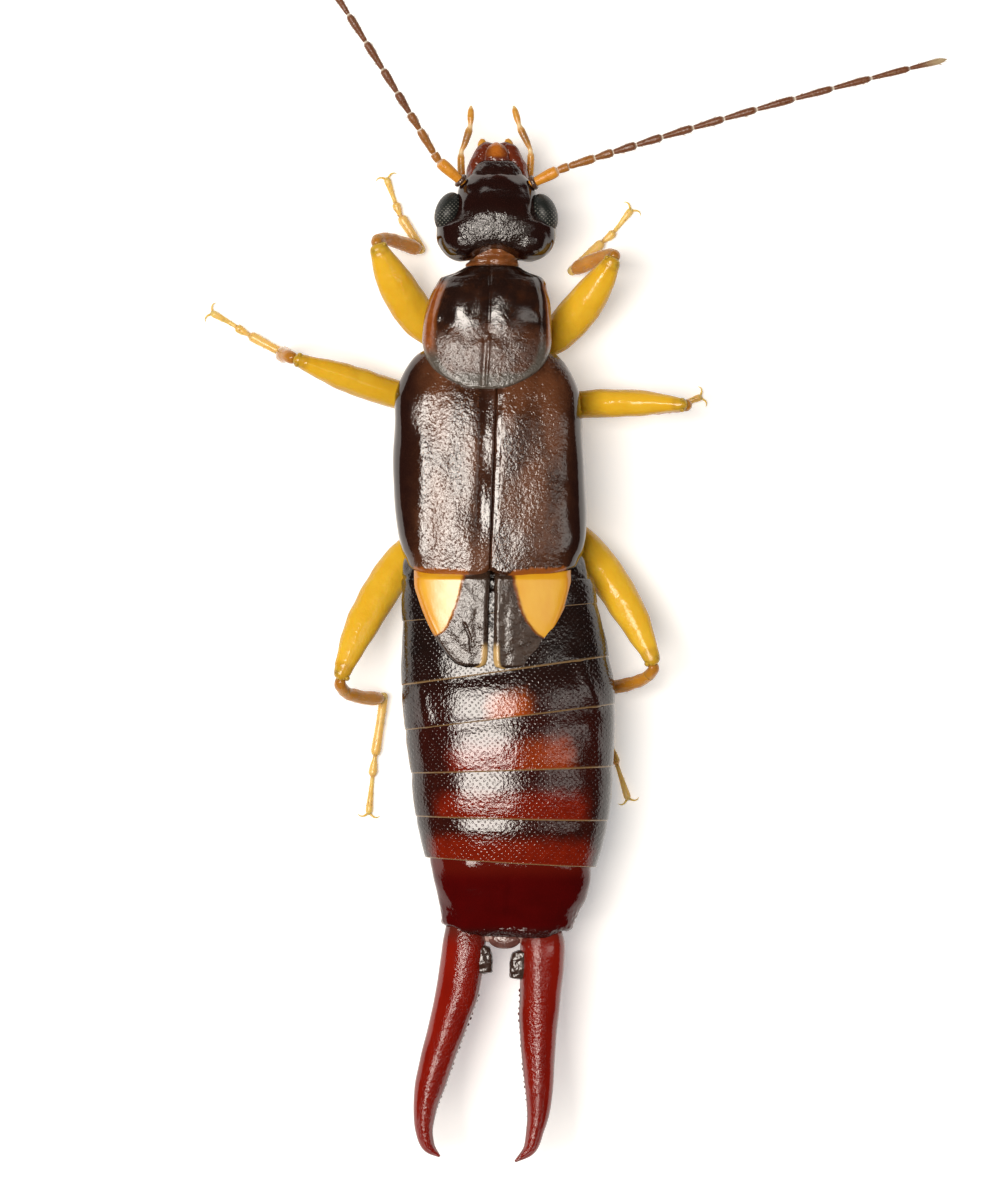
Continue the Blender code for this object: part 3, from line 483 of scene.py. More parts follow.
# Meshes
def grid_faces(rows, columns, wrap):
    across = np.arange(columns if wrap else columns - 1)
    along = np.arange(rows - 1)[:, None] * columns
    low = along + across[None, :]
    right = along + (across[None, :] + 1) % columns
    return np.stack([low, right, right + columns, low + columns], axis=-1).reshape(-1, 4)


def grid_normals(grid, wrap):
    """Unit normals of a grid of points, pointing away from its middle."""
    along = np.gradient(grid, axis=0)
    if wrap:
        across = (np.roll(grid, -1, axis=1) - np.roll(grid, 1, axis=1)) / 2
    else:
        across = np.gradient(grid, axis=1)
    normals = np.cross(across, along)
    length = np.linalg.norm(normals, axis=-1, keepdims=True)
    normals = normals / np.maximum(length, 1e-12)
    if wrap:
        outward = grid - grid.mean(axis=1, keepdims=True)
        flip = np.sign(np.sum(normals * outward))
    else:
        flip = np.sign(np.sum(normals[..., 2]))
    return normals * flip


def piece(name, points, faces, masks, paint, node=None):
    """A smooth mesh that rides on the root and may stand for a node."""
    mesh = bpy.data.meshes.new(name)
    placed = (np.asarray(points, float) + SHIFT) * MM
    mesh.from_pydata(placed.tolist(), [], faces)
    for key, values in masks.items():
        layer = mesh.attributes.new(key, "FLOAT", "POINT")
        layer.data.foreach_set("value", np.asarray(values, np.float32).reshape(-1))
    surface = bmesh.new()
    surface.from_mesh(mesh)
    bmesh.ops.recalc_face_normals(surface, faces=surface.faces)
    surface.to_mesh(mesh)
    surface.free()
    mesh.shade_smooth()
    mesh.materials.append(paint)
    item = bpy.data.objects.new(name, mesh)
    bpy.context.scene.collection.objects.link(item)
    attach(item, "root")
    if node:
        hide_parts(node)
    return item


def skin(name, rings, masks, paint, node=None):
    """A closed skin through rings of points, closed by a fan at both ends."""
    rows, columns = rings.shape[:2]
    points = list(rings.reshape(-1, 3))
    faces = grid_faces(rows, columns, True).tolist()
    values = {key: list(np.asarray(value).reshape(-1)) for key, value in masks.items()}
    for row in (0, rows - 1):
        tip = len(points)
        points.append(rings[row].mean(axis=0))
        for key, value in masks.items():
            values[key].append(float(np.mean(value[row])))
        low = row * columns
        faces += [[low + k, low + (k + 1) % columns, tip] for k in range(columns)]
    return piece(name, points, faces, values, paint, node)


def shell(name, upper, lower, masks, paint, node=None):
    """A closed plate between two grids of points of the same size."""
    rows, columns = upper.shape[:2]
    count = rows * columns
    faces = grid_faces(rows, columns, False)
    points = np.concatenate([upper.reshape(-1, 3), lower.reshape(-1, 3)])
    both = faces.tolist() + (faces[:, ::-1] + count).tolist()
    index = np.arange(count).reshape(rows, columns)
    border = np.concatenate([index[0, :-1], index[:-1, -1], index[-1, :0:-1], index[:0:-1, 0]])
    after = np.roll(border, -1)
    both += np.stack([border, border + count, after + count, after], axis=-1).tolist()
    values = {key: np.concatenate([v.reshape(-1), v.reshape(-1)]) for key, v in masks.items()}
    return piece(name, points, both, values, paint, node)


def section_rings(rows, ys, columns, power, insets=None):
    """Rings of a body part, and the angle and cross share of each point."""
    table = smooth(rows, ys)
    angles = 2 * math.pi * np.arange(columns) / columns
    cosine = signed_power(np.cos(angles), 2 / power)[None, :]
    sine = signed_power(np.sin(angles), 2 / power)[None, :]
    inset = np.zeros(len(ys)) if insets is None else insets
    inset = inset[:, None]
    above = table[:, 3:4] - inset
    below = table[:, 4:5] - inset
    across = (table[:, 1:2] - inset) * cosine
    rise = np.where(sine > 0, above, below) * sine
    turn = np.tan(np.radians(table[:, 5:6])) if table.shape[1] > 5 else 0.0
    x = table[:, 0:1] + across
    y = ys[:, None] + across * turn
    z = table[:, 2:3] + rise
    return np.stack([x, y, z], axis=-1), angles, cosine * np.ones((len(ys), 1))


def spaced(rows, count):
    """Places along a table of rows, closer together at both ends."""
    first = min(row[0] for row in rows)
    last = max(row[0] for row in rows)
    return first + (last - first) * eased(count)


def flowing(points, count):
    """Many points on a smooth line through a few, evenly along it."""
    keys = np.asarray(points, float)
    ends = np.vstack([2 * keys[0] - keys[1], keys, 2 * keys[-1] - keys[-2]])
    line = []
    for index in range(len(keys) - 1):
        a, b, c, d = ends[index:index + 4]
        for share in np.linspace(0, 1, 24, endpoint=False):
            line.append(
                0.5
                * (
                    2 * b
                    + (c - a) * share
                    + (2 * a - 5 * b + 4 * c - d) * share ** 2
                    + (3 * b - a - 3 * c + d) * share ** 3
                )
            )
    line.append(keys[-1])
    line = np.array(line)
    travelled = np.concatenate([[0], np.cumsum(np.linalg.norm(np.diff(line[:, :3], axis=0), axis=1))])
    wanted = np.linspace(0, travelled[-1], count)
    return np.stack([np.interp(wanted, travelled, line[:, k]) for k in range(line.shape[1])], axis=-1)


def tube_rings(middles, widths, heights, across, columns):
    """Rings round a line, with half widths along one direction and half heights."""
    along = np.gradient(middles, axis=0)
    along /= np.linalg.norm(along, axis=1, keepdims=True)
    across = np.asarray(across, float)
    wide = across - (along @ across)[:, None] * along
    wide /= np.linalg.norm(wide, axis=1, keepdims=True)
    high = np.cross(wide, along)
    high *= np.where(high[:, 2:3] < -0.2, -1.0, 1.0)
    angles = 2 * math.pi * np.arange(columns) / columns
    cosine = np.cos(angles)[None, :, None]
    sine = np.sin(angles)[None, :, None]
    rings = middles[:, None, :] + wide[:, None, :] * cosine * np.asarray(widths)[:, None, None]
    rings = rings + high[:, None, :] * sine * np.asarray(heights)[:, None, None]
    return rings, angles


def ellipsoid_rings(at, size, rows, columns):
    turn = math.pi * (np.arange(rows) + 0.5) / rows
    angles = 2 * math.pi * np.arange(columns) / columns
    x = at[0] + size[0] * np.sin(turn)[:, None] * np.cos(angles)[None, :]
    y = at[1] - size[1] * np.cos(turn)[:, None] * np.ones(columns)[None, :]
    z = at[2] + size[2] * np.sin(turn)[:, None] * np.sin(angles)[None, :]
    return np.stack([x, y, z], axis=-1)


def joined(parts):
    """Points, faces and masks of several closed tubes as one mesh."""
    points = []
    faces = []
    masks = {}
    count = 0
    for rings, values in parts:
        rows, columns = rings.shape[:2]
        points.append(rings.reshape(-1, 3))
        faces += (grid_faces(rows, columns, True) + count).tolist()
        tips = np.array([rings[0].mean(axis=0), rings[-1].mean(axis=0)])
        points.append(tips)
        for row, tip in ((0, rows * columns), (rows - 1, rows * columns + 1)):
            low = row * columns
            faces += [
                [count + low + k, count + low + (k + 1) % columns, count + tip]
                for k in range(columns)
            ]
        for key, value in values.items():
            value = np.broadcast_to(np.asarray(value, float), (rows, columns))
            flat = np.concatenate([value.reshape(-1), [value[0].mean(), value[-1].mean()]])
            masks.setdefault(key, []).append(flat)
        count += rows * columns + 2
    return np.concatenate(points), faces, {key: np.concatenate(v) for key, v in masks.items()}


def bristle_parts(roots, ways, lengths, radius, bend=0.25):
    """Short tapered hairs as closed three-sided cones."""
    parts = []
    for root, way, length in zip(roots, ways, lengths):
        way = way / np.linalg.norm(way)
        side = np.cross(way, (0.31, 0.22, 0.93))
        side /= np.linalg.norm(side)
        other = np.cross(way, side)
        middles = (
            root - way * length * 0.15,
            root + way * length * 0.55,
            root + way * length * 0.9 + side * length * bend * 0.4,
        )
        rings = []
        for middle, size in zip(middles, (1.0, 0.7, 0.12)):
            rings.append(
                [
                    middle + (side * math.cos(turn) + other * math.sin(turn)) * radius * size
                    for turn in (0.0, 2.094, 4.189)
                ]
            )
        parts.append((np.array(rings), {}))
    return parts


def add_bake_map(item, count, points_each):
    """A map with one small patch for each hair."""
    layer = item.data.uv_layers.new(name="OFBake")
    wide = math.ceil(math.sqrt(count))
    loops = np.empty(len(item.data.loops), np.int32)
    item.data.loops.foreach_get("vertex_index", loops)
    hair = loops // points_each
    inside = loops % points_each
    u = (hair % wide + 0.3) / wide + 0.003 * (inside % 3) / 3
    v = (hair // wide + 0.3) / wide + 0.003 * (inside // 3) / 4
    layer.data.foreach_set("uv", np.stack([u, v], axis=-1).astype(np.float32).reshape(-1))


# Materials
class Paint:
    """One procedural material: a shader and the nodes that feed it."""

    def __init__(self, name, **settings):
        self.material = bpy.data.materials.new(name)
        self.material.use_nodes = True
        self.tree = self.material.node_tree
        self.shader = self.tree.nodes["Principled BSDF"]
        for socket, value in settings.items():
            self.shader.inputs[socket.replace("_", " ")].default_value = value
        place = self.add("ShaderNodeTexCoord").outputs["Object"]
        scale = self.add("ShaderNodeVectorMath", operation="SCALE")
        scale.inputs["Scale"].default_value = 1 / MM
        self.tree.links.new(place, scale.inputs[0])
        self.place = scale.outputs[0]
        self.normal = None

    def add(self, kind, **settings):
        node = self.tree.nodes.new(kind)
        for key, value in settings.items():
            setattr(node, key, value)
        return node

    def feed(self, socket, value):
        if isinstance(value, bpy.types.NodeSocket):
            self.tree.links.new(value, socket)
        else:
            socket.default_value = value

    def stretched(self, scale):
        node = self.add("ShaderNodeVectorMath", operation="MULTIPLY")
        self.feed(node.inputs[0], self.place)
        node.inputs[1].default_value = scale
        return node.outputs[0]

    def noise(self, scale, detail=2.0, stretch=None, roughness=0.5):
        node = self.add("ShaderNodeTexNoise")
        self.feed(node.inputs["Vector"], self.stretched(stretch) if stretch else self.place)
        node.inputs["Scale"].default_value = scale
        node.inputs["Detail"].default_value = detail
        node.inputs["Roughness"].default_value = roughness
        return node.outputs["Fac"]

    def dimples(self, pitch, wander):
        """Even rows of small pits, a pitch apart in millimetres."""
        shift = self.add("ShaderNodeTexNoise")
        self.feed(shift.inputs["Vector"], self.place)
        shift.inputs["Scale"].default_value = 3.0
        drift = self.add("ShaderNodeVectorMath", operation="MULTIPLY")
        self.feed(drift.inputs[0], shift.outputs["Color"])
        drift.inputs[1].default_value = (wander, wander, 0.0)
        moved = self.add("ShaderNodeVectorMath", operation="ADD")
        self.feed(moved.inputs[0], self.place)
        self.feed(moved.inputs[1], drift.outputs[0])
        turns = self.add("ShaderNodeVectorMath", operation="SCALE")
        self.feed(turns.inputs[0], moved.outputs[0])
        turns.inputs["Scale"].default_value = 2 * math.pi / pitch
        wave = self.add("ShaderNodeVectorMath", operation="SINE")
        self.feed(wave.inputs[0], turns.outputs[0])
        split = self.add("ShaderNodeSeparateXYZ")
        self.feed(split.inputs[0], wave.outputs[0])
        return self.sum("MULTIPLY", split.outputs["X"], split.outputs["Y"])

    def cells(self, scale, stretch=None, feature="F1"):
        node = self.add("ShaderNodeTexVoronoi", feature=feature)
        self.feed(node.inputs["Vector"], self.stretched(stretch) if stretch else self.place)
        node.inputs["Scale"].default_value = scale
        return node.outputs["Distance"]

    def mask(self, name):
        return self.add("ShaderNodeAttribute", attribute_name=name).outputs["Fac"]

    def sum(self, operation, first, second, clamp=False):
        node = self.add("ShaderNodeMath", operation=operation, use_clamp=clamp)
        self.feed(node.inputs[0], first)
        self.feed(node.inputs[1], second)
        return node.outputs[0]

    def spread(self, value, low, high, to_low=0.0, to_high=1.0):
        node = self.add("ShaderNodeMapRange", interpolation_type="SMOOTHSTEP")
        self.feed(node.inputs["Value"], value)
        node.inputs["From Min"].default_value = low
        node.inputs["From Max"].default_value = high
        node.inputs["To Min"].default_value = to_low
        node.inputs["To Max"].default_value = to_high
        return node.outputs["Result"]

    def mixed(self, share, first, second):
        node = self.add("ShaderNodeMix", data_type="RGBA")
        self.feed(node.inputs["Factor"], share)
        for socket, value in ((node.inputs[6], first), (node.inputs[7], second)):
            self.feed(socket, value if isinstance(value, bpy.types.NodeSocket) else (*value, 1.0))
        return node.outputs[2]

    def uneven(self, mask, scale, amount):
        """A mask whose border wanders with noise."""
        wander = self.sum("MULTIPLY", self.sum("SUBTRACT", self.noise(scale, 3.0), 0.5), amount)
        return self.sum("ADD", mask, wander, True)

    def bump(self, height, depth):
        """Relief of a depth in millimetres, over any relief added before."""
        node = self.add("ShaderNodeBump")
        node.inputs["Distance"].default_value = depth * MM
        self.feed(node.inputs["Height"], height)
        if self.normal is not None:
            self.feed(node.inputs["Normal"], self.normal)
        self.normal = node.outputs["Normal"]
        self.feed(self.shader.inputs["Normal"], self.normal)

    def colour(self, value):
        self.feed(self.shader.inputs["Base Color"], value)

    def rough(self, value):
        self.feed(self.shader.inputs["Roughness"], value)


def head_paint():
    paint = Paint("head_chitin", Specular_IOR_Level=0.9)
    vertex = paint.uneven(paint.mask("vertex"), 5.0, 0.60)
    dark = paint.mixed(paint.noise(3.0, 3.0), (0.008, 0.0018, 0.0012), (0.022, 0.005, 0.003))
    dark = paint.mixed(vertex, dark, (0.018, 0.008, 0.006))
    red = paint.mixed(paint.noise(9.0, 2.0), (0.030, 0.006, 0.004), (0.060, 0.014, 0.007))
    paint.colour(paint.mixed(paint.mask("front"), dark, red))
    paint.rough(paint.spread(vertex, 0.0, 1.0, 0.10, 0.13))
    wrinkle = paint.noise(15.0, 3.0, None, 0.6)
    paint.bump(paint.sum("MULTIPLY", wrinkle, paint.spread(vertex, 0.0, 1.0, 0.08, 1.0)), 0.026)
    return paint.material


def eye_paint():
    paint = Paint("eye_facets", Specular_IOR_Level=0.4)
    facets = paint.cells(30.0)
    # Painted highlights: rows of pale specks on the facets.
    facet_highlight = paint.spread(paint.dimples(0.072, 0.05), 0.35, 0.90)
    facet_highlight = paint.sum("MULTIPLY", facet_highlight, paint.spread(paint.noise(2.2, 2.0), 0.36, 0.60))
    dark = paint.mixed(paint.noise(4.0), (0.005, 0.006, 0.0055), (0.013, 0.016, 0.0145))
    paint.colour(paint.mixed(paint.sum("MULTIPLY", facet_highlight, 0.7), dark, (0.30, 0.29, 0.25)))
    paint.rough(paint.spread(facets, 0.1, 0.6, 0.30, 0.45))
    paint.bump(paint.spread(facets, 0.0, 0.6, 1.0, 0.0), 0.004)
    return paint.material


def neck_paint():
    paint = Paint("neck_skin", Subsurface_Weight=0.15, Subsurface_Scale=0.0002)
    streak = paint.noise(7.0, 3.0, (0.6, 2.0, 1.0))
    base = paint.mixed(streak, (0.075, 0.015, 0.004), (0.33, 0.115, 0.030))
    # The dark mask is painted shade in the troughs of the folds.
    paint.colour(paint.mixed(paint.mask("dark"), base, (0.030, 0.010, 0.006)))
    paint.rough(paint.spread(streak, 0.3, 0.7, 0.12, 0.26))
    paint.bump(paint.noise(10.0, 2.0, (0.5, 2.0, 1.0)), 0.024)
    return paint.material


def shield_paint():
    paint = Paint("pronotum_shield", Specular_IOR_Level=0.85)
    amber = paint.uneven(paint.mask("amber"), 6.0, 0.30)
    rear = paint.uneven(paint.mask("rear"), 3.5, 0.90)
    dark = paint.mixed(paint.noise(4.0, 3.0), (0.008, 0.003, 0.002), (0.026, 0.009, 0.005))
    rough_part = paint.mixed(paint.noise(7.0, 3.0), (0.030, 0.010, 0.005), (0.110, 0.040, 0.018))
    base = paint.mixed(rear, dark, rough_part)
    base = paint.mixed(paint.mask("flange"), base, (0.085, 0.072, 0.058))
    amber_tone = paint.mixed(paint.noise(12.0, 2.0), (0.18, 0.036, 0.006), (0.38, 0.110, 0.018))
    base = paint.mixed(amber, base, amber_tone)
    paint.colour(paint.mixed(paint.mask("rim"), base, (0.150, 0.125, 0.100)))
    paint.rough(paint.spread(rear, 0.0, 1.0, 0.13, 0.15))
    dots = paint.spread(paint.cells(15.0), 0.04, 0.34)
    grain = paint.sum("ADD", paint.noise(12.0, 4.0, None, 0.62), paint.sum("MULTIPLY", dots, 0.25))
    paint.bump(paint.sum("MULTIPLY", grain, paint.spread(rear, 0.0, 1.0, 0.25, 1.0)), 0.020)
    return paint.material


def breast_paint():
    paint = Paint("breast_plates", Specular_IOR_Level=0.5)
    base = paint.mixed(paint.noise(3.0, 3.0), (0.040, 0.014, 0.006), (0.160, 0.070, 0.022))
    paint.colour(paint.mixed(paint.mask("seam"), base, (0.016, 0.006, 0.004)))
    paint.rough(paint.spread(paint.noise(10.0, 2.0), 0.3, 0.7, 0.25, 0.40))
    paint.bump(paint.noise(18.0, 2.0), 0.020)
    return paint.material


def wing_case_paint():
    paint = Paint("wing_case_leather", Specular_IOR_Level=0.85)
    side = paint.uneven(paint.mask("side"), 4.0, 0.45)
    blotch = paint.noise(1.8, 4.0, (1.0, 0.5, 1.0))
    base = paint.mixed(paint.spread(blotch, 0.35, 0.65), (0.042, 0.013, 0.005), (0.128, 0.043, 0.017))
    freckle = paint.spread(paint.noise(18.0, 2.0), 0.52, 0.72)
    base = paint.mixed(paint.sum("MULTIPLY", freckle, 0.4), base, (0.160, 0.072, 0.036))
    # The outer sides are darker and smooth; the strip along the suture in this mask is painted shade.
    base = paint.mixed(side, base, (0.018, 0.005, 0.003))
    streak = paint.noise(16.0, 2.0, (1.0, 0.15, 1.0))
    fringe = paint.sum("ADD", paint.mask("fringe"), paint.sum("MULTIPLY", paint.sum("SUBTRACT", streak, 0.5), 0.9))
    fringe = paint.sum("MULTIPLY", paint.spread(fringe, 0.35, 0.80), paint.spread(paint.mask("fringe"), 0.02, 0.2))
    paint.colour(paint.mixed(fringe, base, (0.30, 0.085, 0.014)))
    paint.rough(paint.spread(side, 0.0, 1.0, 0.12, 0.11))
    leather = paint.noise(12.0, 3.0, None, 0.60)
    dots = paint.spread(paint.cells(15.0), 0.04, 0.34)
    height = paint.sum("ADD", leather, paint.sum("MULTIPLY", dots, 0.24))
    paint.bump(paint.sum("MULTIPLY", height, paint.spread(side, 0.0, 1.0, 1.0, 0.10)), 0.018)
    return paint.material


def wing_tip_paint():
    paint = Paint("wing_tip_skin", Specular_IOR_Level=0.85)
    yellow = paint.uneven(paint.mask("yellow"), 7.0, 0.35)
    dark = paint.mixed(paint.noise(8.0, 3.0), (0.020, 0.010, 0.006), (0.070, 0.038, 0.024))
    tone = paint.mixed(paint.noise(4.0, 2.0, (1.0, 0.4, 1.0)), (0.74, 0.310, 0.006), (0.90, 0.520, 0.030))
    tone = paint.mixed(paint.mask("amber"), tone, (0.60, 0.190, 0.008))
    border = paint.mixed(paint.spread(yellow, 0.42, 0.85), (0.260, 0.070, 0.010), tone)
    base = paint.mixed(paint.spread(yellow, 0.18, 0.50), dark, border)
    base = paint.mixed(paint.mask("strip"), base, (0.62, 0.400, 0.150))
    paint.colour(paint.mixed(paint.mask("edge"), base, (0.010, 0.005, 0.004)))
    paint.rough(paint.spread(yellow, 0.3, 0.7, 0.14, 0.27))
    grain = paint.noise(11.0, 4.0, None, 0.6)
    paint.bump(paint.sum("MULTIPLY", grain, paint.spread(yellow, 0.3, 0.7, 1.0, 0.12)), 0.020)
    return paint.material


def abdomen_paint():
    paint = Paint("abdomen_plates", Specular_IOR_Level=0.7)
    red = paint.uneven(paint.mask("red"), 7.0, 0.45)
    deep = paint.mask("deep")
    black = paint.mixed(paint.noise(5.0, 3.0), (0.005, 0.003, 0.0025), (0.018, 0.007, 0.005))
    brown = paint.mixed(paint.noise(6.0, 3.0), (0.016, 0.003, 0.002), (0.044, 0.006, 0.003))
    base = paint.mixed(deep, black, brown)
    warm = paint.mixed(paint.noise(9.0, 3.0), (0.110, 0.004, 0.001), (0.250, 0.016, 0.002))
    orange = paint.mixed(paint.noise(9.0, 3.0), (0.270, 0.030, 0.002), (0.430, 0.080, 0.005))
    warm = paint.mixed(paint.mask("orange"), warm, orange)
    base = paint.mixed(paint.spread(red, 0.15, 0.95), base, warm)
    paint.colour(paint.mixed(paint.mask("rim"), base, (0.26, 0.160, 0.070)))
    paint.rough(paint.spread(paint.noise(12.0, 2.0), 0.3, 0.7, 0.075, 0.10))
    paint.bump(paint.spread(paint.dimples(0.105, 0.17), 0.40, 0.95, 1.0, 0.0), 0.0028)
    paint.bump(paint.noise(15.0, 3.0), 0.0078)
    return paint.material


def last_paint():
    paint = Paint("last_plate", Specular_IOR_Level=0.45)
    tone = paint.mixed(paint.noise(3.0, 3.0), (0.046, 0.0006, 0.0005), (0.085, 0.0010, 0.0008))
    tone = paint.mixed(paint.mask("rear"), tone, (0.022, 0.004, 0.003))
    paint.colour(paint.mixed(paint.mask("front"), tone, (0.110, 0.006, 0.002)))
    rear = paint.mask("rear")
    paint.rough(paint.spread(rear, 0.0, 1.0, 0.09, 0.25))
    paint.bump(paint.sum("MULTIPLY", paint.noise(14.0, 2.0), paint.spread(rear, 0.0, 1.0, 0.10, 1.0)), 0.050)
    return paint.material


def forceps_paint():
    paint = Paint("forceps_horn", Specular_IOR_Level=0.75)
    streak = paint.noise(3.0, 3.0, (1.6, 0.35, 1.0))
    tone = paint.mixed(streak, (0.150, 0.0025, 0.0008), (0.300, 0.011, 0.002))
    tone = paint.mixed(paint.mask("base"), tone, (0.110, 0.014, 0.008))
    paint.colour(paint.mixed(paint.mask("edge"), tone, (0.045, 0.004, 0.003)))
    paint.rough(paint.spread(paint.noise(14.0, 2.0), 0.35, 0.7, 0.09, 0.13))
    grain = paint.noise(18.0, 3.0, None, 0.6)
    paint.bump(paint.sum("MULTIPLY", grain, paint.spread(paint.mask("keel"), 0.1, 0.8, 0.15, 1.0)), 0.021)
    return paint.material


def lobe_paint():
    paint = Paint("forceps_lobe", Specular_IOR_Level=0.7)
    paint.colour(paint.mixed(paint.noise(8.0, 3.0), (0.012, 0.006, 0.004), (0.070, 0.036, 0.026)))
    paint.rough(paint.spread(paint.noise(12.0, 2.0), 0.3, 0.7, 0.15, 0.30))
    paint.bump(paint.noise(8.0, 2.0), 0.020)
    return paint.material


def leg_paint():
    paint = Paint(
        "leg_chitin",
        Specular_IOR_Level=0.4,
        Subsurface_Weight=0.35,
        Subsurface_Scale=0.00035,
    )
    paint.shader.inputs["Subsurface Radius"].default_value = (1.0, 0.6, 0.15)
    tone = paint.noise(2.4, 3.0)
    thigh = paint.mixed(tone, (0.740, 0.395, 0.012), (0.840, 0.550, 0.046))
    shin = paint.mixed(tone, (0.420, 0.160, 0.010), (0.590, 0.280, 0.034))
    foot = paint.mixed(tone, (0.780, 0.460, 0.110), (0.860, 0.600, 0.220))
    base = paint.mixed(paint.mask("shin"), thigh, shin)
    base = paint.mixed(paint.mask("foot"), base, foot)
    # The knee mask gives the dark knee rings, joints and claws, and painted shade on the underside of each femur.
    paint.colour(paint.mixed(paint.mask("knee"), base, (0.280, 0.105, 0.022)))
    paint.rough(paint.spread(tone, 0.3, 0.7, 0.15, 0.26))
    paint.bump(paint.noise(8.0, 2.0), 0.012)
    return paint.material


def feeler_paint():
    paint = Paint("feeler_chitin", Specular_IOR_Level=0.5)
    tone = paint.noise(9.0, 3.0)
    club = paint.mixed(tone, (0.110, 0.032, 0.012), (0.230, 0.085, 0.034))
    scape = paint.mixed(tone, (0.560, 0.190, 0.010), (0.800, 0.350, 0.030))
    base = paint.mixed(paint.mask("scape"), club, scape)
    base = paint.mixed(paint.mask("tip"), base, (0.500, 0.380, 0.220))
    paint.colour(paint.mixed(paint.mask("joint"), base, (0.900, 0.820, 0.700)))
    paint.rough(paint.spread(tone, 0.3, 0.7, 0.26, 0.42))
    paint.bump(paint.noise(22.0, 2.0), 0.012)
    return paint.material


def palp_paint():
    paint = Paint("palp_chitin", Subsurface_Weight=0.2, Subsurface_Scale=0.0001)
    tone = paint.noise(6.0, 3.0)
    base = paint.mixed(tone, (0.500, 0.200, 0.020), (0.760, 0.400, 0.070))
    base = paint.mixed(paint.mask("dull"), base, (0.240, 0.110, 0.036))
    paint.colour(paint.mixed(paint.mask("joint"), base, (0.800, 0.620, 0.340)))
    paint.rough(paint.spread(tone, 0.3, 0.7, 0.22, 0.36))
    paint.bump(paint.noise(16.0, 2.0), 0.010)
    return paint.material


def jaw_paint(name, low, high):
    paint = Paint(name, Specular_IOR_Level=0.75)
    paint.colour(paint.mixed(paint.noise(8.0, 3.0), low, high))
    paint.rough(paint.spread(paint.noise(14.0, 2.0), 0.3, 0.7, 0.12, 0.28))
    paint.bump(paint.noise(14.0, 2.0), 0.020)
    return paint.material


def labrum_paint():
    paint = Paint("labrum_chitin", Specular_IOR_Level=0.75)
    red = paint.mixed(paint.noise(8.0, 3.0), (0.060, 0.008, 0.004), (0.170, 0.030, 0.010))
    orange = paint.mixed(paint.noise(10.0, 2.0), (0.380, 0.090, 0.008), (0.620, 0.200, 0.020))
    paint.colour(paint.mixed(paint.mask("centre"), red, orange))
    paint.rough(paint.spread(paint.noise(14.0, 2.0), 0.3, 0.7, 0.12, 0.28))
    paint.bump(paint.noise(14.0, 2.0), 0.020)
    return paint.material


def bristle_paint():
    paint = Paint("bristle")
    paint.colour(paint.mixed(paint.noise(5.0, 2.0), (0.34, 0.190, 0.080), (0.62, 0.430, 0.220)))
    paint.rough(paint.spread(paint.noise(8.0, 2.0), 0.3, 0.7, 0.35, 0.5))
    return paint.material


def floor_paint():
    paint = Paint("pale_floor")
    paint.colour(paint.mixed(paint.noise(0.05, 2.0), (0.90, 0.90, 0.895), (0.925, 0.925, 0.92)))
    paint.rough(0.9)
    # The floor glows a little, so that shadows stay soft
    paint.shader.inputs["Emission Color"].default_value = (1.0, 1.0, 1.0, 1.0)
    paint.shader.inputs["Emission Strength"].default_value = 0.36
    return paint.material


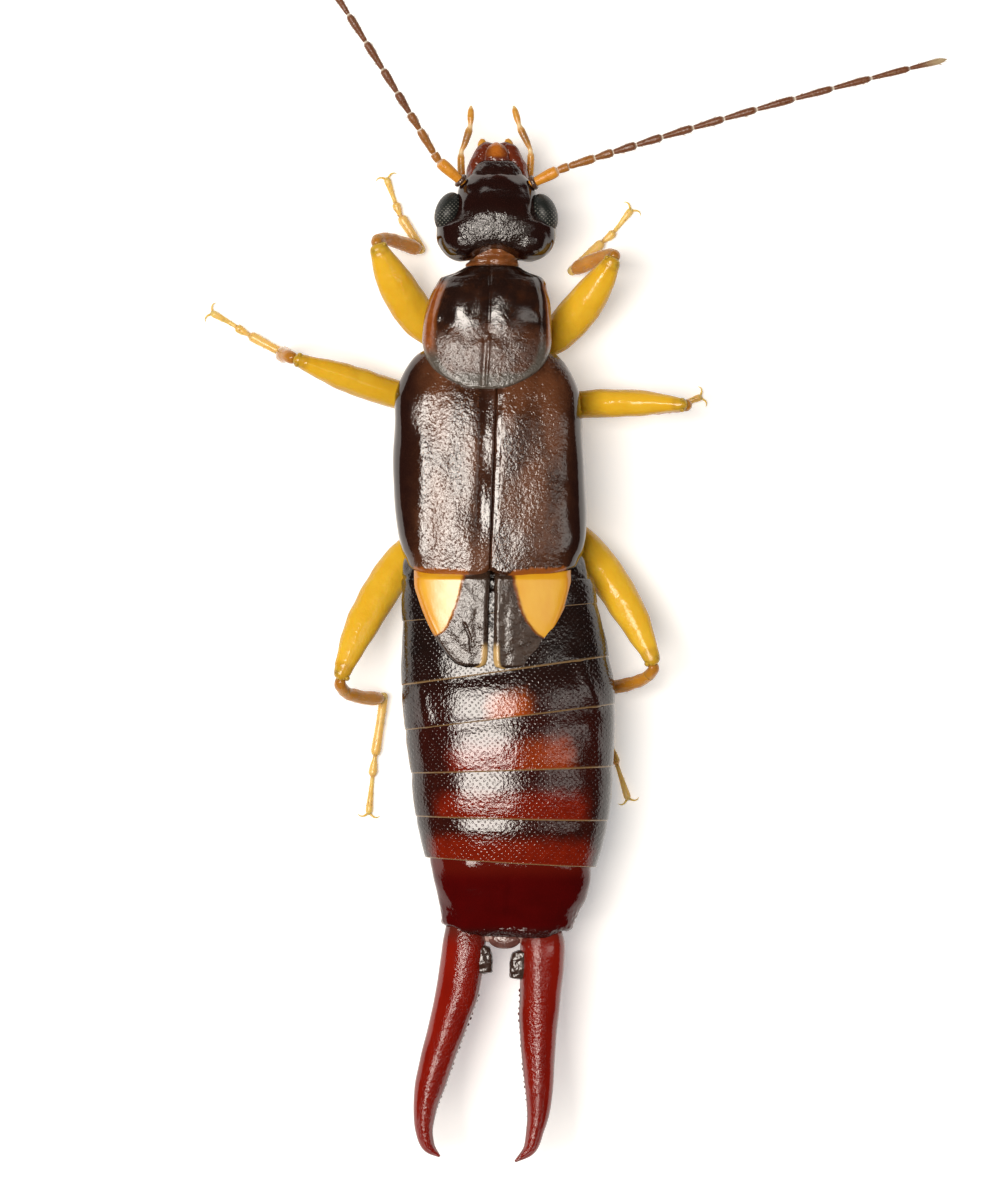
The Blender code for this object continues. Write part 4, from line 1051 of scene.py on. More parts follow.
# Parts of the body
def make_head(paints):
    ys = spaced(HEAD_ROWS, 190)
    rings, angles, cross = section_rings(HEAD_ROWS, ys, 220, 2.3)
    x, y, z = rings[..., 0], rings[..., 1], rings[..., 2]
    normals = grid_normals(rings, True)
    upper = step_up(0.0, 0.5, normals[..., 2])
    relief = 0.0
    for side in (LEFT, RIGHT):
        middle = 0.08 + side * 0.66
        relief = relief + 0.056 * hill(np.hypot((x - middle) / 1.1, y - 6.32), 0.24)
        groove = (
            (0.08 + side * 0.86, 6.58),
            (0.08 + side * 0.62, 6.52),
            (0.08 + side * 0.40, 6.30),
            (0.08 + side * 0.30, 6.10),
        )
        relief = relief - 0.030 * hill(near_line(x, y, groove), 0.10)
        ridge = ((0.08 + side * 0.66, 7.00), (0.09 + side * 0.52, 7.42))
        relief = relief + 0.008 * hill(near_line(x, y, ridge), 0.06)
    relief = relief - 0.010 * hill(near_line(x, y, ((0.07, 6.80), (0.06, 6.2))), 0.03)
    relief = relief * upper + 0.005 * waves(rings, 0.35, SEED)
    rings = rings + normals * relief[..., None]
    notch_x, notch_width, notch_depth = HEAD_NOTCH
    notch = notch_depth * hill(rings[..., 0] - notch_x, notch_width)
    rings[..., 1] += notch * np.clip((6.62 - rings[..., 1]) / 0.62, 0, 1) ** 1.2
    x, y = rings[..., 0], rings[..., 1]
    front_line = 6.93 - 0.24 * np.abs(x + 0.05) ** 1.4
    vertex = step_up(0.12, -0.16, y - front_line) * step_up(0.86, 0.46, np.abs(x - 0.07))
    vertex = vertex * step_up(6.08, 6.32, y) * upper
    front = step_up(7.42, 7.60, y)
    skin("head_capsule", rings, {"vertex": vertex, "front": front}, paints["head"], "head")

    for name, rows, power, paint in (
        ("clypeus", CLYPEUS_ROWS, 2.8, "clypeus"),
        ("labrum", LABRUM_ROWS, 2.1, "labrum"),
    ):
        ys = spaced(rows, 40)
        rings, angles, cross = section_rings(rows, ys, 64, power)
        ends = np.minimum(ys - ys.min(), ys.max() - ys)
        squeeze = np.sqrt(np.clip(ends / 0.05, 0.0, 1.0))[:, None, None]
        middle = rings.mean(axis=1, keepdims=True)
        rings = middle + (rings - middle) * (0.25 + 0.75 * squeeze)
        rings = rings + grid_normals(rings, True) * 0.006 * waves(rings, 0.18, SEED + 1)[..., None]
        centre = hill(rings[..., 0] - 0.07, 0.13) * step_up(7.84, 7.92, rings[..., 1])
        skin(name, rings, {"centre": centre}, paints[paint], "head")

    for side in (LEFT, RIGHT):
        name = "left" if side == LEFT else "right"
        line = flowing(
            (
                (0.09 + side * 0.38, 7.22, 1.24, 0.16, 0.17),
                (0.09 + side * 0.39, 7.52, 1.24, 0.165, 0.17),
                (0.09 + side * 0.31, 7.82, 1.22, 0.155, 0.15),
                (0.09 + side * 0.20, 8.03, 1.18, 0.12, 0.11),
                (0.09 + side * 0.04, 8.11, 1.15, 0.03, 0.03),
            ),
            46,
        )
        rings, angles = tube_rings(line[:, :3], line[:, 3], line[:, 4], (1, 0, 0), 40)
        rings = rings + grid_normals(rings, True) * 0.008 * waves(rings, 0.2, SEED + 2)[..., None]
        skin("mandible_" + name, rings, {}, paints["mandible"], "head")
        line = flowing(
            (
                (0.08 + side * 0.26, 7.50, 1.05, 0.09, 0.08),
                (0.08 + side * 0.24, 7.90, 1.06, 0.10, 0.08),
                (0.06 + side * 0.23, 8.12, 1.10, 0.085, 0.08),
                (0.05 + side * 0.22, 8.21, 1.11, 0.03, 0.03),
            ),
            30,
        )
        rings, angles = tube_rings(line[:, :3], line[:, 3], line[:, 4], (1, 0, 0), 28)
        skin("maxilla_" + name, rings, {"joint": np.zeros(rings.shape[:2])}, paints["palp"], "head")
        line = flowing(
            (
                (0.08 + side * 0.10, 7.30, 0.93, 0.08, 0.06),
                (0.08 + side * 0.16, 7.60, 0.92, 0.065, 0.06),
                (0.08 + side * 0.20, 7.74, 0.92, 0.045, 0.045),
                (0.08 + side * 0.22, 7.88, 0.93, 0.055, 0.05),
                (0.08 + side * 0.20, 7.98, 0.94, 0.01, 0.01),
            ),
            34,
        )
        rings, angles = tube_rings(line[:, :3], line[:, 3], line[:, 4], (1, 0, 0), 20)
        skin("labial_palp_" + name, rings, {"joint": np.zeros(rings.shape[:2])}, paints["palp"], "head")
        base, apex = (np.array(point) for point in SCAPE[side])
        way = (apex - base) / np.linalg.norm(apex - base)
        middle = base + way * 0.16
        level = np.cross(way, (0, 0, 1))
        level /= np.linalg.norm(level)
        rise = np.cross(level, way)
        turns = np.linspace(0, 2 * math.pi, 48, endpoint=False)[:, None, None]
        small = np.linspace(0, 2 * math.pi, 16, endpoint=False)[None, :, None]
        reach = 0.105 + 0.030 * np.cos(small)
        ring = middle + (level * np.cos(turns) + rise * np.sin(turns)) * reach
        ring = ring + way * 0.040 * np.sin(small)
        faces = grid_faces(49, 16, True) % (48 * 16)
        piece(
            "antenna_socket_" + name, ring.reshape(-1, 3), faces.tolist(), {}, paints["socket"],
            "head",
        )

    rows = (
        (6.30, 0.07, 0.40, 1.10, 0.05, 0.16),
        (6.70, 0.07, 0.52, 1.08, 0.05, 0.17),
        (7.10, 0.08, 0.50, 1.08, 0.05, 0.17),
        (7.40, 0.09, 0.40, 1.08, 0.05, 0.15),
        (7.62, 0.09, 0.28, 1.06, 0.05, 0.12),
    )
    ys = spaced(rows, 50)
    rings, angles, cross = section_rings(rows, ys, 60, 2.6)
    relief = -0.02 * hill(near_line(rings[..., 0], rings[..., 1], ((-0.4, 6.72), (0.54, 6.72))), 0.03)
    relief = relief - 0.02 * hill(near_line(rings[..., 0], rings[..., 1], ((-0.4, 7.26), (0.54, 7.26))), 0.03)
    rings = rings + grid_normals(rings, True) * relief[..., None]
    skin("chin_plates", rings, {"seam": (relief < -0.012) * 1.0}, paints["breast"], "head")


def make_eyes(paints):
    for side, name in ((LEFT, "eye_left"), (RIGHT, "eye_right")):
        middle = np.array(EYE_LOOKS[side])
        rings = ellipsoid_rings((0.0, 0.0, 0.0), EYE_SIZE, 72, 96)
        turn = math.radians(EYE_TURN) * side
        x = rings[..., 0] * math.cos(turn) - rings[..., 1] * math.sin(turn)
        y = rings[..., 0] * math.sin(turn) + rings[..., 1] * math.cos(turn)
        rings = middle + np.stack([x, y, rings[..., 2]], axis=-1)
        skin(name + "_facets", rings, {}, paints["eye"], name)


def make_neck(paints):
    ys = spaced(NECK_ROWS, 70)
    rings, angles, cross = section_rings(NECK_ROWS, ys, 120, 2.2)
    folds = 0.014 * np.cos((rings[..., 1] - 5.94) * 2 * math.pi / 0.17)
    relief = folds + 0.012 * waves(rings, 0.22, SEED + 3)
    rings = rings + grid_normals(rings, True) * relief[..., None]
    # Painted shade: the troughs of the folds are painted darker toward the sides.
    dark = step_up(0.02, -0.02, folds) * 0.6 * step_up(0.4, 0.9, np.abs(cross))
    skin("neck_membrane", rings, {"dark": dark}, paints["neck"], "neck")


def make_pronotum(paints):
    rows = 150
    columns = 180
    ys = spaced(SHIELD_ROWS, rows)
    table = smooth(SHIELD_ROWS, ys)
    share = np.sin(np.linspace(-math.pi / 2, math.pi / 2, columns))[None, :]
    middle, half, edge_z, dome = (table[:, k:k + 1] for k in range(4))
    x = middle + half * share
    y = ys[:, None] * np.ones_like(x)
    arch = np.clip(1 - np.abs(share) ** 2.6, 0, 1) ** 0.55
    z = edge_z + dome * arch
    inner = step_up(0.98, 0.70, np.abs(share))
    for at, wide, long, rise in ((-0.56, 0.25, 0.32, 0.044), (0.44, 0.32, 0.40, 0.016)):
        z = z + rise * hill(np.hypot((x - at) / wide, (y - 5.20) / long), 1.0) * inner
    front = step_up(4.55, 4.85, y)
    z = z - 0.030 * hill(near_line(x, y, ((-0.01, 5.95), (-0.06, 4.75))), 0.10) * front
    z = z - 0.020 * hill(near_line(x, y, ((-0.02, 5.95), (-0.07, 4.75))), 0.022) * front
    z = z + 0.014 * hill(near_line(x, y, ((-0.05, 4.62), (-0.10, 3.80))), 0.020)
    z = z - 0.018 * hill(near_line(x, y, ((-0.12, 4.62), (-0.17, 3.80))), 0.04)
    bend = ((-0.84, 4.92), (-0.40, 4.62), (-0.06, 4.70), (0.30, 4.60), (0.72, 4.90))
    z = z - 0.028 * hill(near_line(x, y, bend), 0.15)
    z = z - 0.030 * hill(np.abs(share) - 0.88, 0.05) * step_up(4.2, 4.5, y)
    points = np.stack([x, y, z], axis=-1)
    z = z + 0.004 * waves(points, 0.45, SEED + 4) * inner
    rim = np.minimum((1 - np.abs(share)) * half, np.ones_like(x))
    along_edge = np.minimum(ys - ys.min(), ys.max() - ys)[:, None]
    near_edge = np.minimum(rim, along_edge * 1.4)
    fall = np.clip(1 - near_edge / 0.07, 0, 1)
    upper = np.stack([x, y, z - 0.05 * fall ** 2], axis=-1)
    lower = np.stack([x, y, np.minimum(z, edge_z + dome * arch * 0.8) - 0.11], axis=-1)
    amber = np.where(share < 0, step_up(0.76, 0.87, -share), step_up(0.90, 0.97, share))
    amber = amber * step_up(4.25, 4.60, y) * step_up(5.72, 5.50, y)
    rear = step_up(5.05, 4.70, y + 0.15 * np.abs(share) ** 2)
    flange = step_up(0.34, 0.22, np.minimum(rim * 1.3, (ys - ys.min())[:, None])) * step_up(4.7, 4.4, y)
    pale = step_up(0.06, 0.02, rim) * step_up(4.7, 4.3, y)
    pale = np.maximum(pale, step_up(0.06, 0.02, (ys - ys.min())[:, None] * np.ones_like(x)))
    masks = {"amber": amber, "rear": rear, "flange": flange, "rim": pale * 0.8}
    shell("pronotum_shield", upper, lower, masks, paints["shield"], "pronotum")

    for name, rows_of, node, slot, paint in (
        ("prothorax_breast", BREAST_ROWS, "pronotum", "dark_chitin", "breast"),
        ("thorax_plates", THORAX_ROWS, "thorax", "dark_chitin", "breast"),
        ("waist", WAIST_ROWS, "abdomen", "abdomen", "abdomen"),
    ):
        ys = spaced(rows_of, 120)
        rings, angles, cross = section_rings(rows_of, ys, 120, 2.5)
        x, y = rings[..., 0], rings[..., 1]
        seams = [((-0.07, 6.0), (-0.05, 0.0))]
        for seam_y in (4.95, 4.28, 3.74, 2.62, 1.66, 0.9, 0.4):
            seams.append(((-1.6, seam_y), (1.6, seam_y)))
        relief = np.zeros_like(x)
        for seam in seams:
            relief = relief - 0.028 * hill(near_line(x, y, seam), 0.03)
        seam_mask = np.clip(-relief / 0.028, 0, 1)
        relief = relief + 0.008 * waves(rings, 0.3, SEED + 5)
        rings = rings + grid_normals(rings, True) * relief[..., None]
        skin(name, rings, {"seam": seam_mask * 0.7}, paints[paint], node)


def suture_x(y):
    share = (SUTURE_FRONT[1] - y) / (SUTURE_FRONT[1] - SUTURE_REAR[1])
    return SUTURE_FRONT[0] + share * (SUTURE_REAR[0] - SUTURE_FRONT[0])


def make_tegmen(side, paints):
    rows = 170
    columns = 170
    ys = TEGMEN_REAR + (TEGMEN_FRONT - TEGMEN_REAR) * eased(rows)
    table = smooth(TEGMEN_ROWS, ys)
    middle, half, top = (table[:, k:k + 1] for k in range(3))
    start_x = side * (suture_x(ys)[:, None] - middle)
    reach = np.clip(start_x / half, -0.9, 0.9)
    start = np.degrees(np.arcsin(signed_power(reach, TEGMEN_ACROSS / 2)))
    turn = np.radians(start + (TEGMEN_EDGE_TURN - start) * np.linspace(0, 1, columns)[None, :] ** 1.1)
    grids = []
    for inset in (0.0, TEGMEN_THICKNESS):
        across = (half - inset) * signed_power(np.sin(turn), 2 / TEGMEN_ACROSS)
        rise = (top - TEGMEN_WAIST - inset) * signed_power(np.cos(turn), 2 / TEGMEN_EDGE)
        x = middle + side * across
        y = ys[:, None] * np.ones_like(x)
        grids.append(np.stack([x, y, TEGMEN_WAIST + rise], axis=-1))
    upper, lower = grids
    x, y = upper[..., 0], upper[..., 1]
    from_suture = side * (x - suture_x(y))
    normals = grid_normals(upper, False)
    normals = normals * np.sign(normals[rows // 2, 3, 2])
    relief = 0.010 * waves(upper, 0.90, SEED + 6 + side)
    # Rounded inner edge beside the suture
    relief = relief - 0.040 * np.clip(1 - from_suture / 0.035, 0, 1) ** 2
    if side == LEFT:
        relief = relief - 0.030 * step_up(0.42, 0.16, from_suture)
        relief = relief - 0.010 * np.clip(1 - from_suture / 0.16, 0, 1) * step_up(2.5, 2.1, y)
    else:
        glint = 0.80 + 0.55 * waves(upper, 0.45, SEED + 8)
        inward = from_suture + 0.025 * waves(upper, 0.7, SEED + 9)
        relief = relief - 0.022 * glint * np.clip(1 - inward / 0.13, 0, 1) * step_up(0.9, 1.5, y)
    # Keel along the shoulder and the hollow below it
    keel = 0.010 if side == LEFT else 0.005
    relief = relief + keel * hill(from_suture - 1.28, 0.12)
    relief = relief - keel * 0.6 * hill(from_suture - 1.06, 0.12)
    rear_edge = (ys - TEGMEN_REAR)[:, None]
    relief = relief - 0.05 * np.clip(1 - rear_edge / 0.10, 0, 1) ** 2
    upper = upper + normals * relief[..., None]
    # The rear edge is bent back near the suture and at the outer corner
    pull = 0.05 * hill(from_suture - 0.30, 0.30) - 0.06 * step_up(1.0, 1.5, from_suture)
    pull = pull - 0.08 * hill(from_suture, 0.12)
    fade = step_up(0.9, 0.0, rear_edge)
    for grid in (upper, lower):
        grid[..., 1] -= pull * fade
    outer_side = (0.90, 1.55) if side == RIGHT else (1.00, 1.62)
    side_mask = step_up(*outer_side, from_suture)
    # Painted shade: a strip beside the suture is painted darker and kept smooth, where the rounded inner edge turns
    # away from the light.
    inner_width = 0.15 if side == RIGHT else 0.34
    suture_shade = step_up(inner_width, inner_width - 0.07, from_suture) * step_up(0.8, 1.5, y)
    side_mask = np.maximum(side_mask, suture_shade * 0.60)
    fringe = step_up(0.20, 0.02, rear_edge) * step_up(0.20, 0.45, from_suture)
    fringe = fringe * step_up(1.42, 1.30, from_suture)
    name = "tegmen_left" if side == LEFT else "tegmen_right"
    shell(name + "_leather", upper, lower, {"side": side_mask, "fringe": fringe}, paints["wing_case"], name)


def tegmen_height(x, y):
    """Height of the wing cases' plain surface over a grid of places."""
    table = smooth(TEGMEN_ROWS, y[:, 0])
    middle, half, top = (table[:, k:k + 1] for k in range(3))
    share = np.clip(np.abs(x - middle) / half, 0.0, 0.995)
    return TEGMEN_WAIST + (top - TEGMEN_WAIST) * (1 - share ** TEGMEN_ACROSS) ** (1 / TEGMEN_EDGE)


def make_wing_tip(side, paints):
    rows = 150
    columns = 120
    table_rows = WING_TIP_ROWS[side]
    ys = spaced(table_rows, rows)
    table = smooth(table_rows, ys)
    inner, outer = table[:, 0:1], table[:, 1:2]
    share = eased(columns)[None, :]
    base = suture_x(ys)[:, None] * 0.3
    inner = inner - 0.035
    x = base + side * (inner + (outer - inner) * share)
    y = ys[:, None] * np.ones_like(x)
    z = WING_TIP_TOP - 0.29 * np.abs(x / 1.40) ** 2.2 - 0.05 * step_up(-0.2, -1.2, y)
    from_inner = (outer - inner) * share
    if side == RIGHT:
        z = z - 0.085 * from_inner
    from_outer = (outer - inner) * (1 - share)
    from_rear = (ys - ys.min())[:, None] * np.ones_like(x)
    cover = np.minimum(z, tegmen_height(x, y) - 0.14)
    z = z + (cover - z) * step_up(0.36, 0.56, y)
    z = z + 0.006 * hill(from_inner - 0.34, 0.07) * step_up(0.2, -0.3, y)
    z = z - 0.010 * hill(from_inner - 0.20, 0.07) * step_up(0.2, -0.3, y)
    if side == LEFT:
        crease = near_line(x - base, y, ((-0.46, -0.42), (-0.36, -0.66), (-0.34, -0.92)))
        z = z - 0.022 * hill(crease, 0.026)
    z = z - 0.005 * hill(from_outer - 0.10, 0.06)
    border = smooth(PATCH_ROWS[side], ys)
    yellow = step_up(-0.12, 0.12, side * (x - base) - border)
    points = np.stack([x, y, z], axis=-1)
    z = z + 0.004 * (1 - 0.85 * yellow) * waves(points, 0.30, SEED + 9 + side)
    near_edge = np.minimum(np.minimum(from_inner, from_outer), from_rear * 1.2)
    z = z - 0.07 * np.clip(1 - near_edge / 0.09, 0, 1) ** 2
    upper = np.stack([x, y, z], axis=-1)
    lower = upper.copy()
    lower[..., 2] -= 0.10
    amber = step_up(0.16, 0.03, from_outer) * 0.7
    strip = step_up(0.13, 0.07, from_inner) * step_up(-0.72, -0.90, y)
    edge = step_up(0.045, 0.015, from_outer) * step_up(-0.5, -0.75, y)
    edge = np.maximum(edge, step_up(0.07, 0.02, from_rear) * step_up(0.10, 0.16, from_inner))
    name = "wing_tip_left" if side == LEFT else "wing_tip_right"
    masks = {"yellow": yellow, "amber": amber, "strip": strip, "edge": edge}
    shell(name + "_fold", upper, lower, masks, paints["wing_tip"], name)


def make_abdomen(paints):
    shares = np.concatenate([np.linspace(0, 0.2, 9)[:-1], np.linspace(0.2, 0.9, 15)[:-1], np.linspace(0.9, 1.0, 8)])
    ys = []
    insets = []
    along = []
    order = []
    for index, (start, end) in enumerate(zip(TERGITE_EDGES, TERGITE_EDGES[1:])):
        length = start - end
        for share in shares:
            ys.append(start - length * share + (0.004 if share == 1.0 else 0.0))
            tuck = TERGITE_STEP * (1 - step_up(0.0, 0.30, share))
            lip = 0.014 * step_up(0.985, 1.0, share) + 0.002 * step_up(0.90, 0.96, share)
            insets.append(tuck + lip - 0.009 * math.sin(math.pi * share))
            along.append(share)
            order.append(index)
    ys = np.array(ys)
    along = np.array(along)[:, None]
    order = np.array(order)
    rings, angles, cross = section_rings(ABDOMEN_ROWS, ys, 300, 2.1, np.array(insets))
    x, y, z = rings[..., 0], rings[..., 1], rings[..., 2]
    turns = np.degrees(angles)[None, :]
    below = np.minimum(np.abs(turns - 205), np.abs(turns - 335))
    relief = -0.060 * hill(below, 5.0) - 0.012 * hill(below - 12, 8.0)
    normals = grid_normals(rings, True)
    upper = step_up(0.0, 0.3, normals[..., 2])
    for fold in (((1.52, -1.02), (1.66, -1.40), (1.84, -1.86)), ((-1.24, -1.62), (-1.20, -1.90), (-1.14, -2.16))):
        distance = near_line(x, y, fold)
        relief = relief + 0.034 * hill(distance, 0.12) * upper
    for fold in (((1.72, -2.20), (1.84, -2.55)), ((-1.28, -2.42), (-1.22, -2.80))):
        relief = relief + 0.018 * hill(near_line(x, y, fold), 0.12) * upper
    relief = relief + 0.0018 * waves(rings, 0.5, SEED + 12)
    rings = rings + normals * relief[..., None]
    strength = np.array([TERGITE_RED[k][0] for k in order])[:, None]
    width = np.array([TERGITE_RED[k][1] for k in order])[:, None]
    top = step_up(-0.2, 0.2, np.sin(angles))[None, :]
    spot = step_up(width + 0.18, width - 0.14, np.abs(cross))
    red = strength * step_up(0.05, 0.80, along) * spot * top
    orange = (order == 2)[:, None] * 1.0 + (order == 3)[:, None] * 0.5 * step_up(-0.1, 0.3, cross)
    deep = step_up(-0.8, -2.6, y) * step_up(1.0, 0.80, np.abs(cross)) * top
    belly = (1 - top) * step_up(-1.0, -3.5, y)
    red = np.maximum(red, belly * 0.5 * step_up(0.9, 0.4, np.abs(cross)))
    rim = step_up(0.965, 0.985, along) * np.ones_like(x)
    masks = {"red": red, "orange": orange, "deep": np.maximum(deep, belly * 0.6), "rim": rim}
    skin("abdomen_plates", rings, masks, paints["abdomen"], "abdomen")


def make_last_segment(paints):
    ys = spaced(LAST_ROWS, 130)
    rings, angles, cross = section_rings(LAST_ROWS, ys, 240, 2.15)
    # The rear edge runs forward toward both corners
    rings[..., 1] += 0.16 * step_up(0.60, 1.0, np.abs(cross)) * step_up(-5.2, -5.95, rings[..., 1])
    x, y = rings[..., 0], rings[..., 1]
    normals = grid_normals(rings, True)
    upper = step_up(0.0, 0.4, normals[..., 2])
    relief = -0.020 * hill(near_line(x, y, ((0.33, -4.9), (0.27, -5.6))), 0.05)
    for at in ((-0.40, -5.60), (0.92, -5.62)):
        relief = relief + 0.035 * hill(np.hypot(x - at[0], y - at[1]), 0.26)
    relief = relief - 0.04 * hill(np.hypot(x - 0.25, y + 5.74), 0.30)
    relief = relief * upper
    for at in ((-0.80, -5.74), (1.34, -5.80)):
        relief = relief + 0.04 * hill(np.hypot(x - at[0], y - at[1]), 0.10)
    rear = step_up(-5.74, -5.92, y)
    rough_edge = np.maximum(rear, step_up(0.78, 1.0, np.abs(cross)) * step_up(-5.3, -5.7, y))
    relief = relief + 0.005 * waves(rings, 0.12, SEED + 13) * rough_edge
    relief = relief + 0.006 * waves(rings, 0.5, SEED + 14)
    rings = rings + normals * relief[..., None]
    masks = {"rear": rear * 0.75, "front": step_up(-5.0, -4.72, y) * 0.7}
    skin("last_plate", rings, masks, paints["last"], "last_segment")

    rings = ellipsoid_rings((0.225, -6.02, 1.42), (0.29, 0.18, 0.13), 40, 60)
    relief = 0.016 * hill(np.hypot((rings[..., 0] - 0.225) / 0.2, (rings[..., 1] + 5.99) / 0.1) - 1.0, 0.2)
    rings[..., 2] += relief
    skin("pygidium", rings, {}, paints["pygidium"], "last_segment")
    for side in (LEFT, RIGHT):
        name = "left" if side == LEFT else "right"
        rings = ellipsoid_rings((0.225 + side * 0.25, -5.97, 1.34), (0.16, 0.12, 0.16), 28, 40)
        rings = rings + grid_normals(rings, True) * 0.010 * waves(rings, 0.12, SEED + 15)[..., None]
        skin("rear_membrane_" + name, rings, {}, paints["membrane"], "last_segment")


def make_forceps(side, paints):
    name = "forceps_left" if side == LEFT else "forceps_right"
    line = flowing(FORCEPS_ROWS[side], 190)
    middles = line[:, :3]
    rings, angles = tube_rings(middles, line[:, 3], line[:, 4], (1, 0, 0), 96)
    degrees = np.degrees(angles)[None, :]
    along = np.linspace(0, 1, len(line))[:, None]
    normals = grid_normals(rings, True)
    thick = line[:, 4][:, None]
    # Two keels run back from the base and become one before the tip
    outer_keel = 90 + side * 20.0 * step_up(0.45, 0.0, along)
    inner_keel = 90 - side * (-52.0 + 24.0 * along)
    relief = 0.12 * thick * hill(degrees - outer_keel, 22.0) * step_up(0.0, 0.10, along)
    relief = relief + 0.03 * thick * hill(degrees - inner_keel, 18.0) * step_up(0.0, 0.12, along)
    relief = relief + 0.004 * waves(rings, 0.60, SEED + 16 + side) * step_up(1.0, 0.8, along)
    relief = relief * np.minimum(1.0, line[:, 3][:, None] / 0.12)
    rings = rings + normals * relief[..., None]
    inward_turn = 0.0 if side == LEFT else 180.0
    offset = np.abs((degrees - inward_turn + 180) % 360 - 180)
    edge = hill(offset, 24.0) * step_up(0.15, 0.30, along) * 0.75
    outer_turn = 180.0 - inward_turn
    offset = np.abs((degrees - outer_turn + 180) % 360 - 180)
    edge = np.maximum(edge, 0.5 * hill(offset, 16.0))
    base = step_up(0.10, 0.0, along) * np.ones_like(edge)
    keel = hill(degrees - outer_keel - side * 8.0, 34.0) * np.ones_like(edge)
    parts = [(rings, {"edge": edge, "base": base, "keel": keel})]
    draw = np.random.default_rng(SEED + 20)
    for tooth in range(DENTICLES):
        share = tooth / (DENTICLES - 1)
        place = DENTICLE_SPAN[0] + (DENTICLE_SPAN[1] - DENTICLE_SPAN[0]) * share
        index = int(place * (len(line) - 1))
        way = middles[index + 1] - middles[index - 1]
        way /= np.linalg.norm(way)
        inward = np.cross(way, (0, 0, 1))
        inward *= -side * np.sign(inward[0])
        size = draw.uniform(0.030, 0.042) * (1.20 - 0.50 * share)
        root = middles[index] + inward * (line[index, 3] - 0.050)
        root[2] -= 0.03
        steps = np.array([0.0, 0.45, 0.8, 1.0])[:, None]
        tooth_line = root + inward * steps * (0.03 + size)
        sizes = np.array([1.25, 1.0, 0.62, 0.15]) * size
        tooth_rings, _ = tube_rings(tooth_line, sizes, sizes, (0, 0, 1), 12)
        parts.append((tooth_rings, {"edge": 0.75, "base": 0.0, "keel": 0.0}))
    points, faces, masks = joined(parts)
    piece(name + "_horn", points, faces, masks, paints["forceps"], name)

    at = LOBE_AT[side]
    rows = [
        (at[1] - LOBE_SIZE[1], at[0] + side * 0.04, 0.07, at[2], 0.10, 0.08),
        (at[1] - LOBE_SIZE[1] * 0.85, at[0], LOBE_SIZE[0] * 0.95, at[2], 0.16, 0.13),
        (at[1], at[0], LOBE_SIZE[0], at[2], 0.19, 0.15),
        (at[1] + LOBE_SIZE[1] * 0.80, at[0] + side * 0.04, LOBE_SIZE[0] * 0.95, at[2], 0.19, 0.15),
        (at[1] + LOBE_SIZE[1], at[0] + side * 0.09, 0.08, at[2], 0.12, 0.10),
    ]
    ys = spaced(rows, 44)
    rings, angles, cross = section_rings(rows, ys, 56, 3.6)
    rings = rings + grid_normals(rings, True) * 0.005 * waves(rings, 0.14, SEED + 21)[..., None]
    skin(name + "_lobe", rings, {}, paints["lobe"], name)


def antenna_line(side):
    """Joints of the flagellum from its start to its tip."""
    start_heading, end_heading = FLAGELLUM_HEADING[side]
    whole = sum(FLAGELLUM_LENGTHS)
    point = np.array((*FLAGELLUM_START[side], SCAPE[side][1][2] + 0.02))
    joints = [point]
    done = 0.0
    for length in FLAGELLUM_LENGTHS:
        share = (done + length / 2) / whole
        heading = math.radians(start_heading + (end_heading - start_heading) * share)
        rise = FLAGELLUM_RISE[0] + (FLAGELLUM_RISE[1] - FLAGELLUM_RISE[0]) * share
        flat = math.sqrt(1 - rise ** 2) * length
        step = (side * math.sin(heading) * flat, math.cos(heading) * flat, rise * length)
        point = point + np.array(step)
        joints.append(point)
        done += length
    return joints


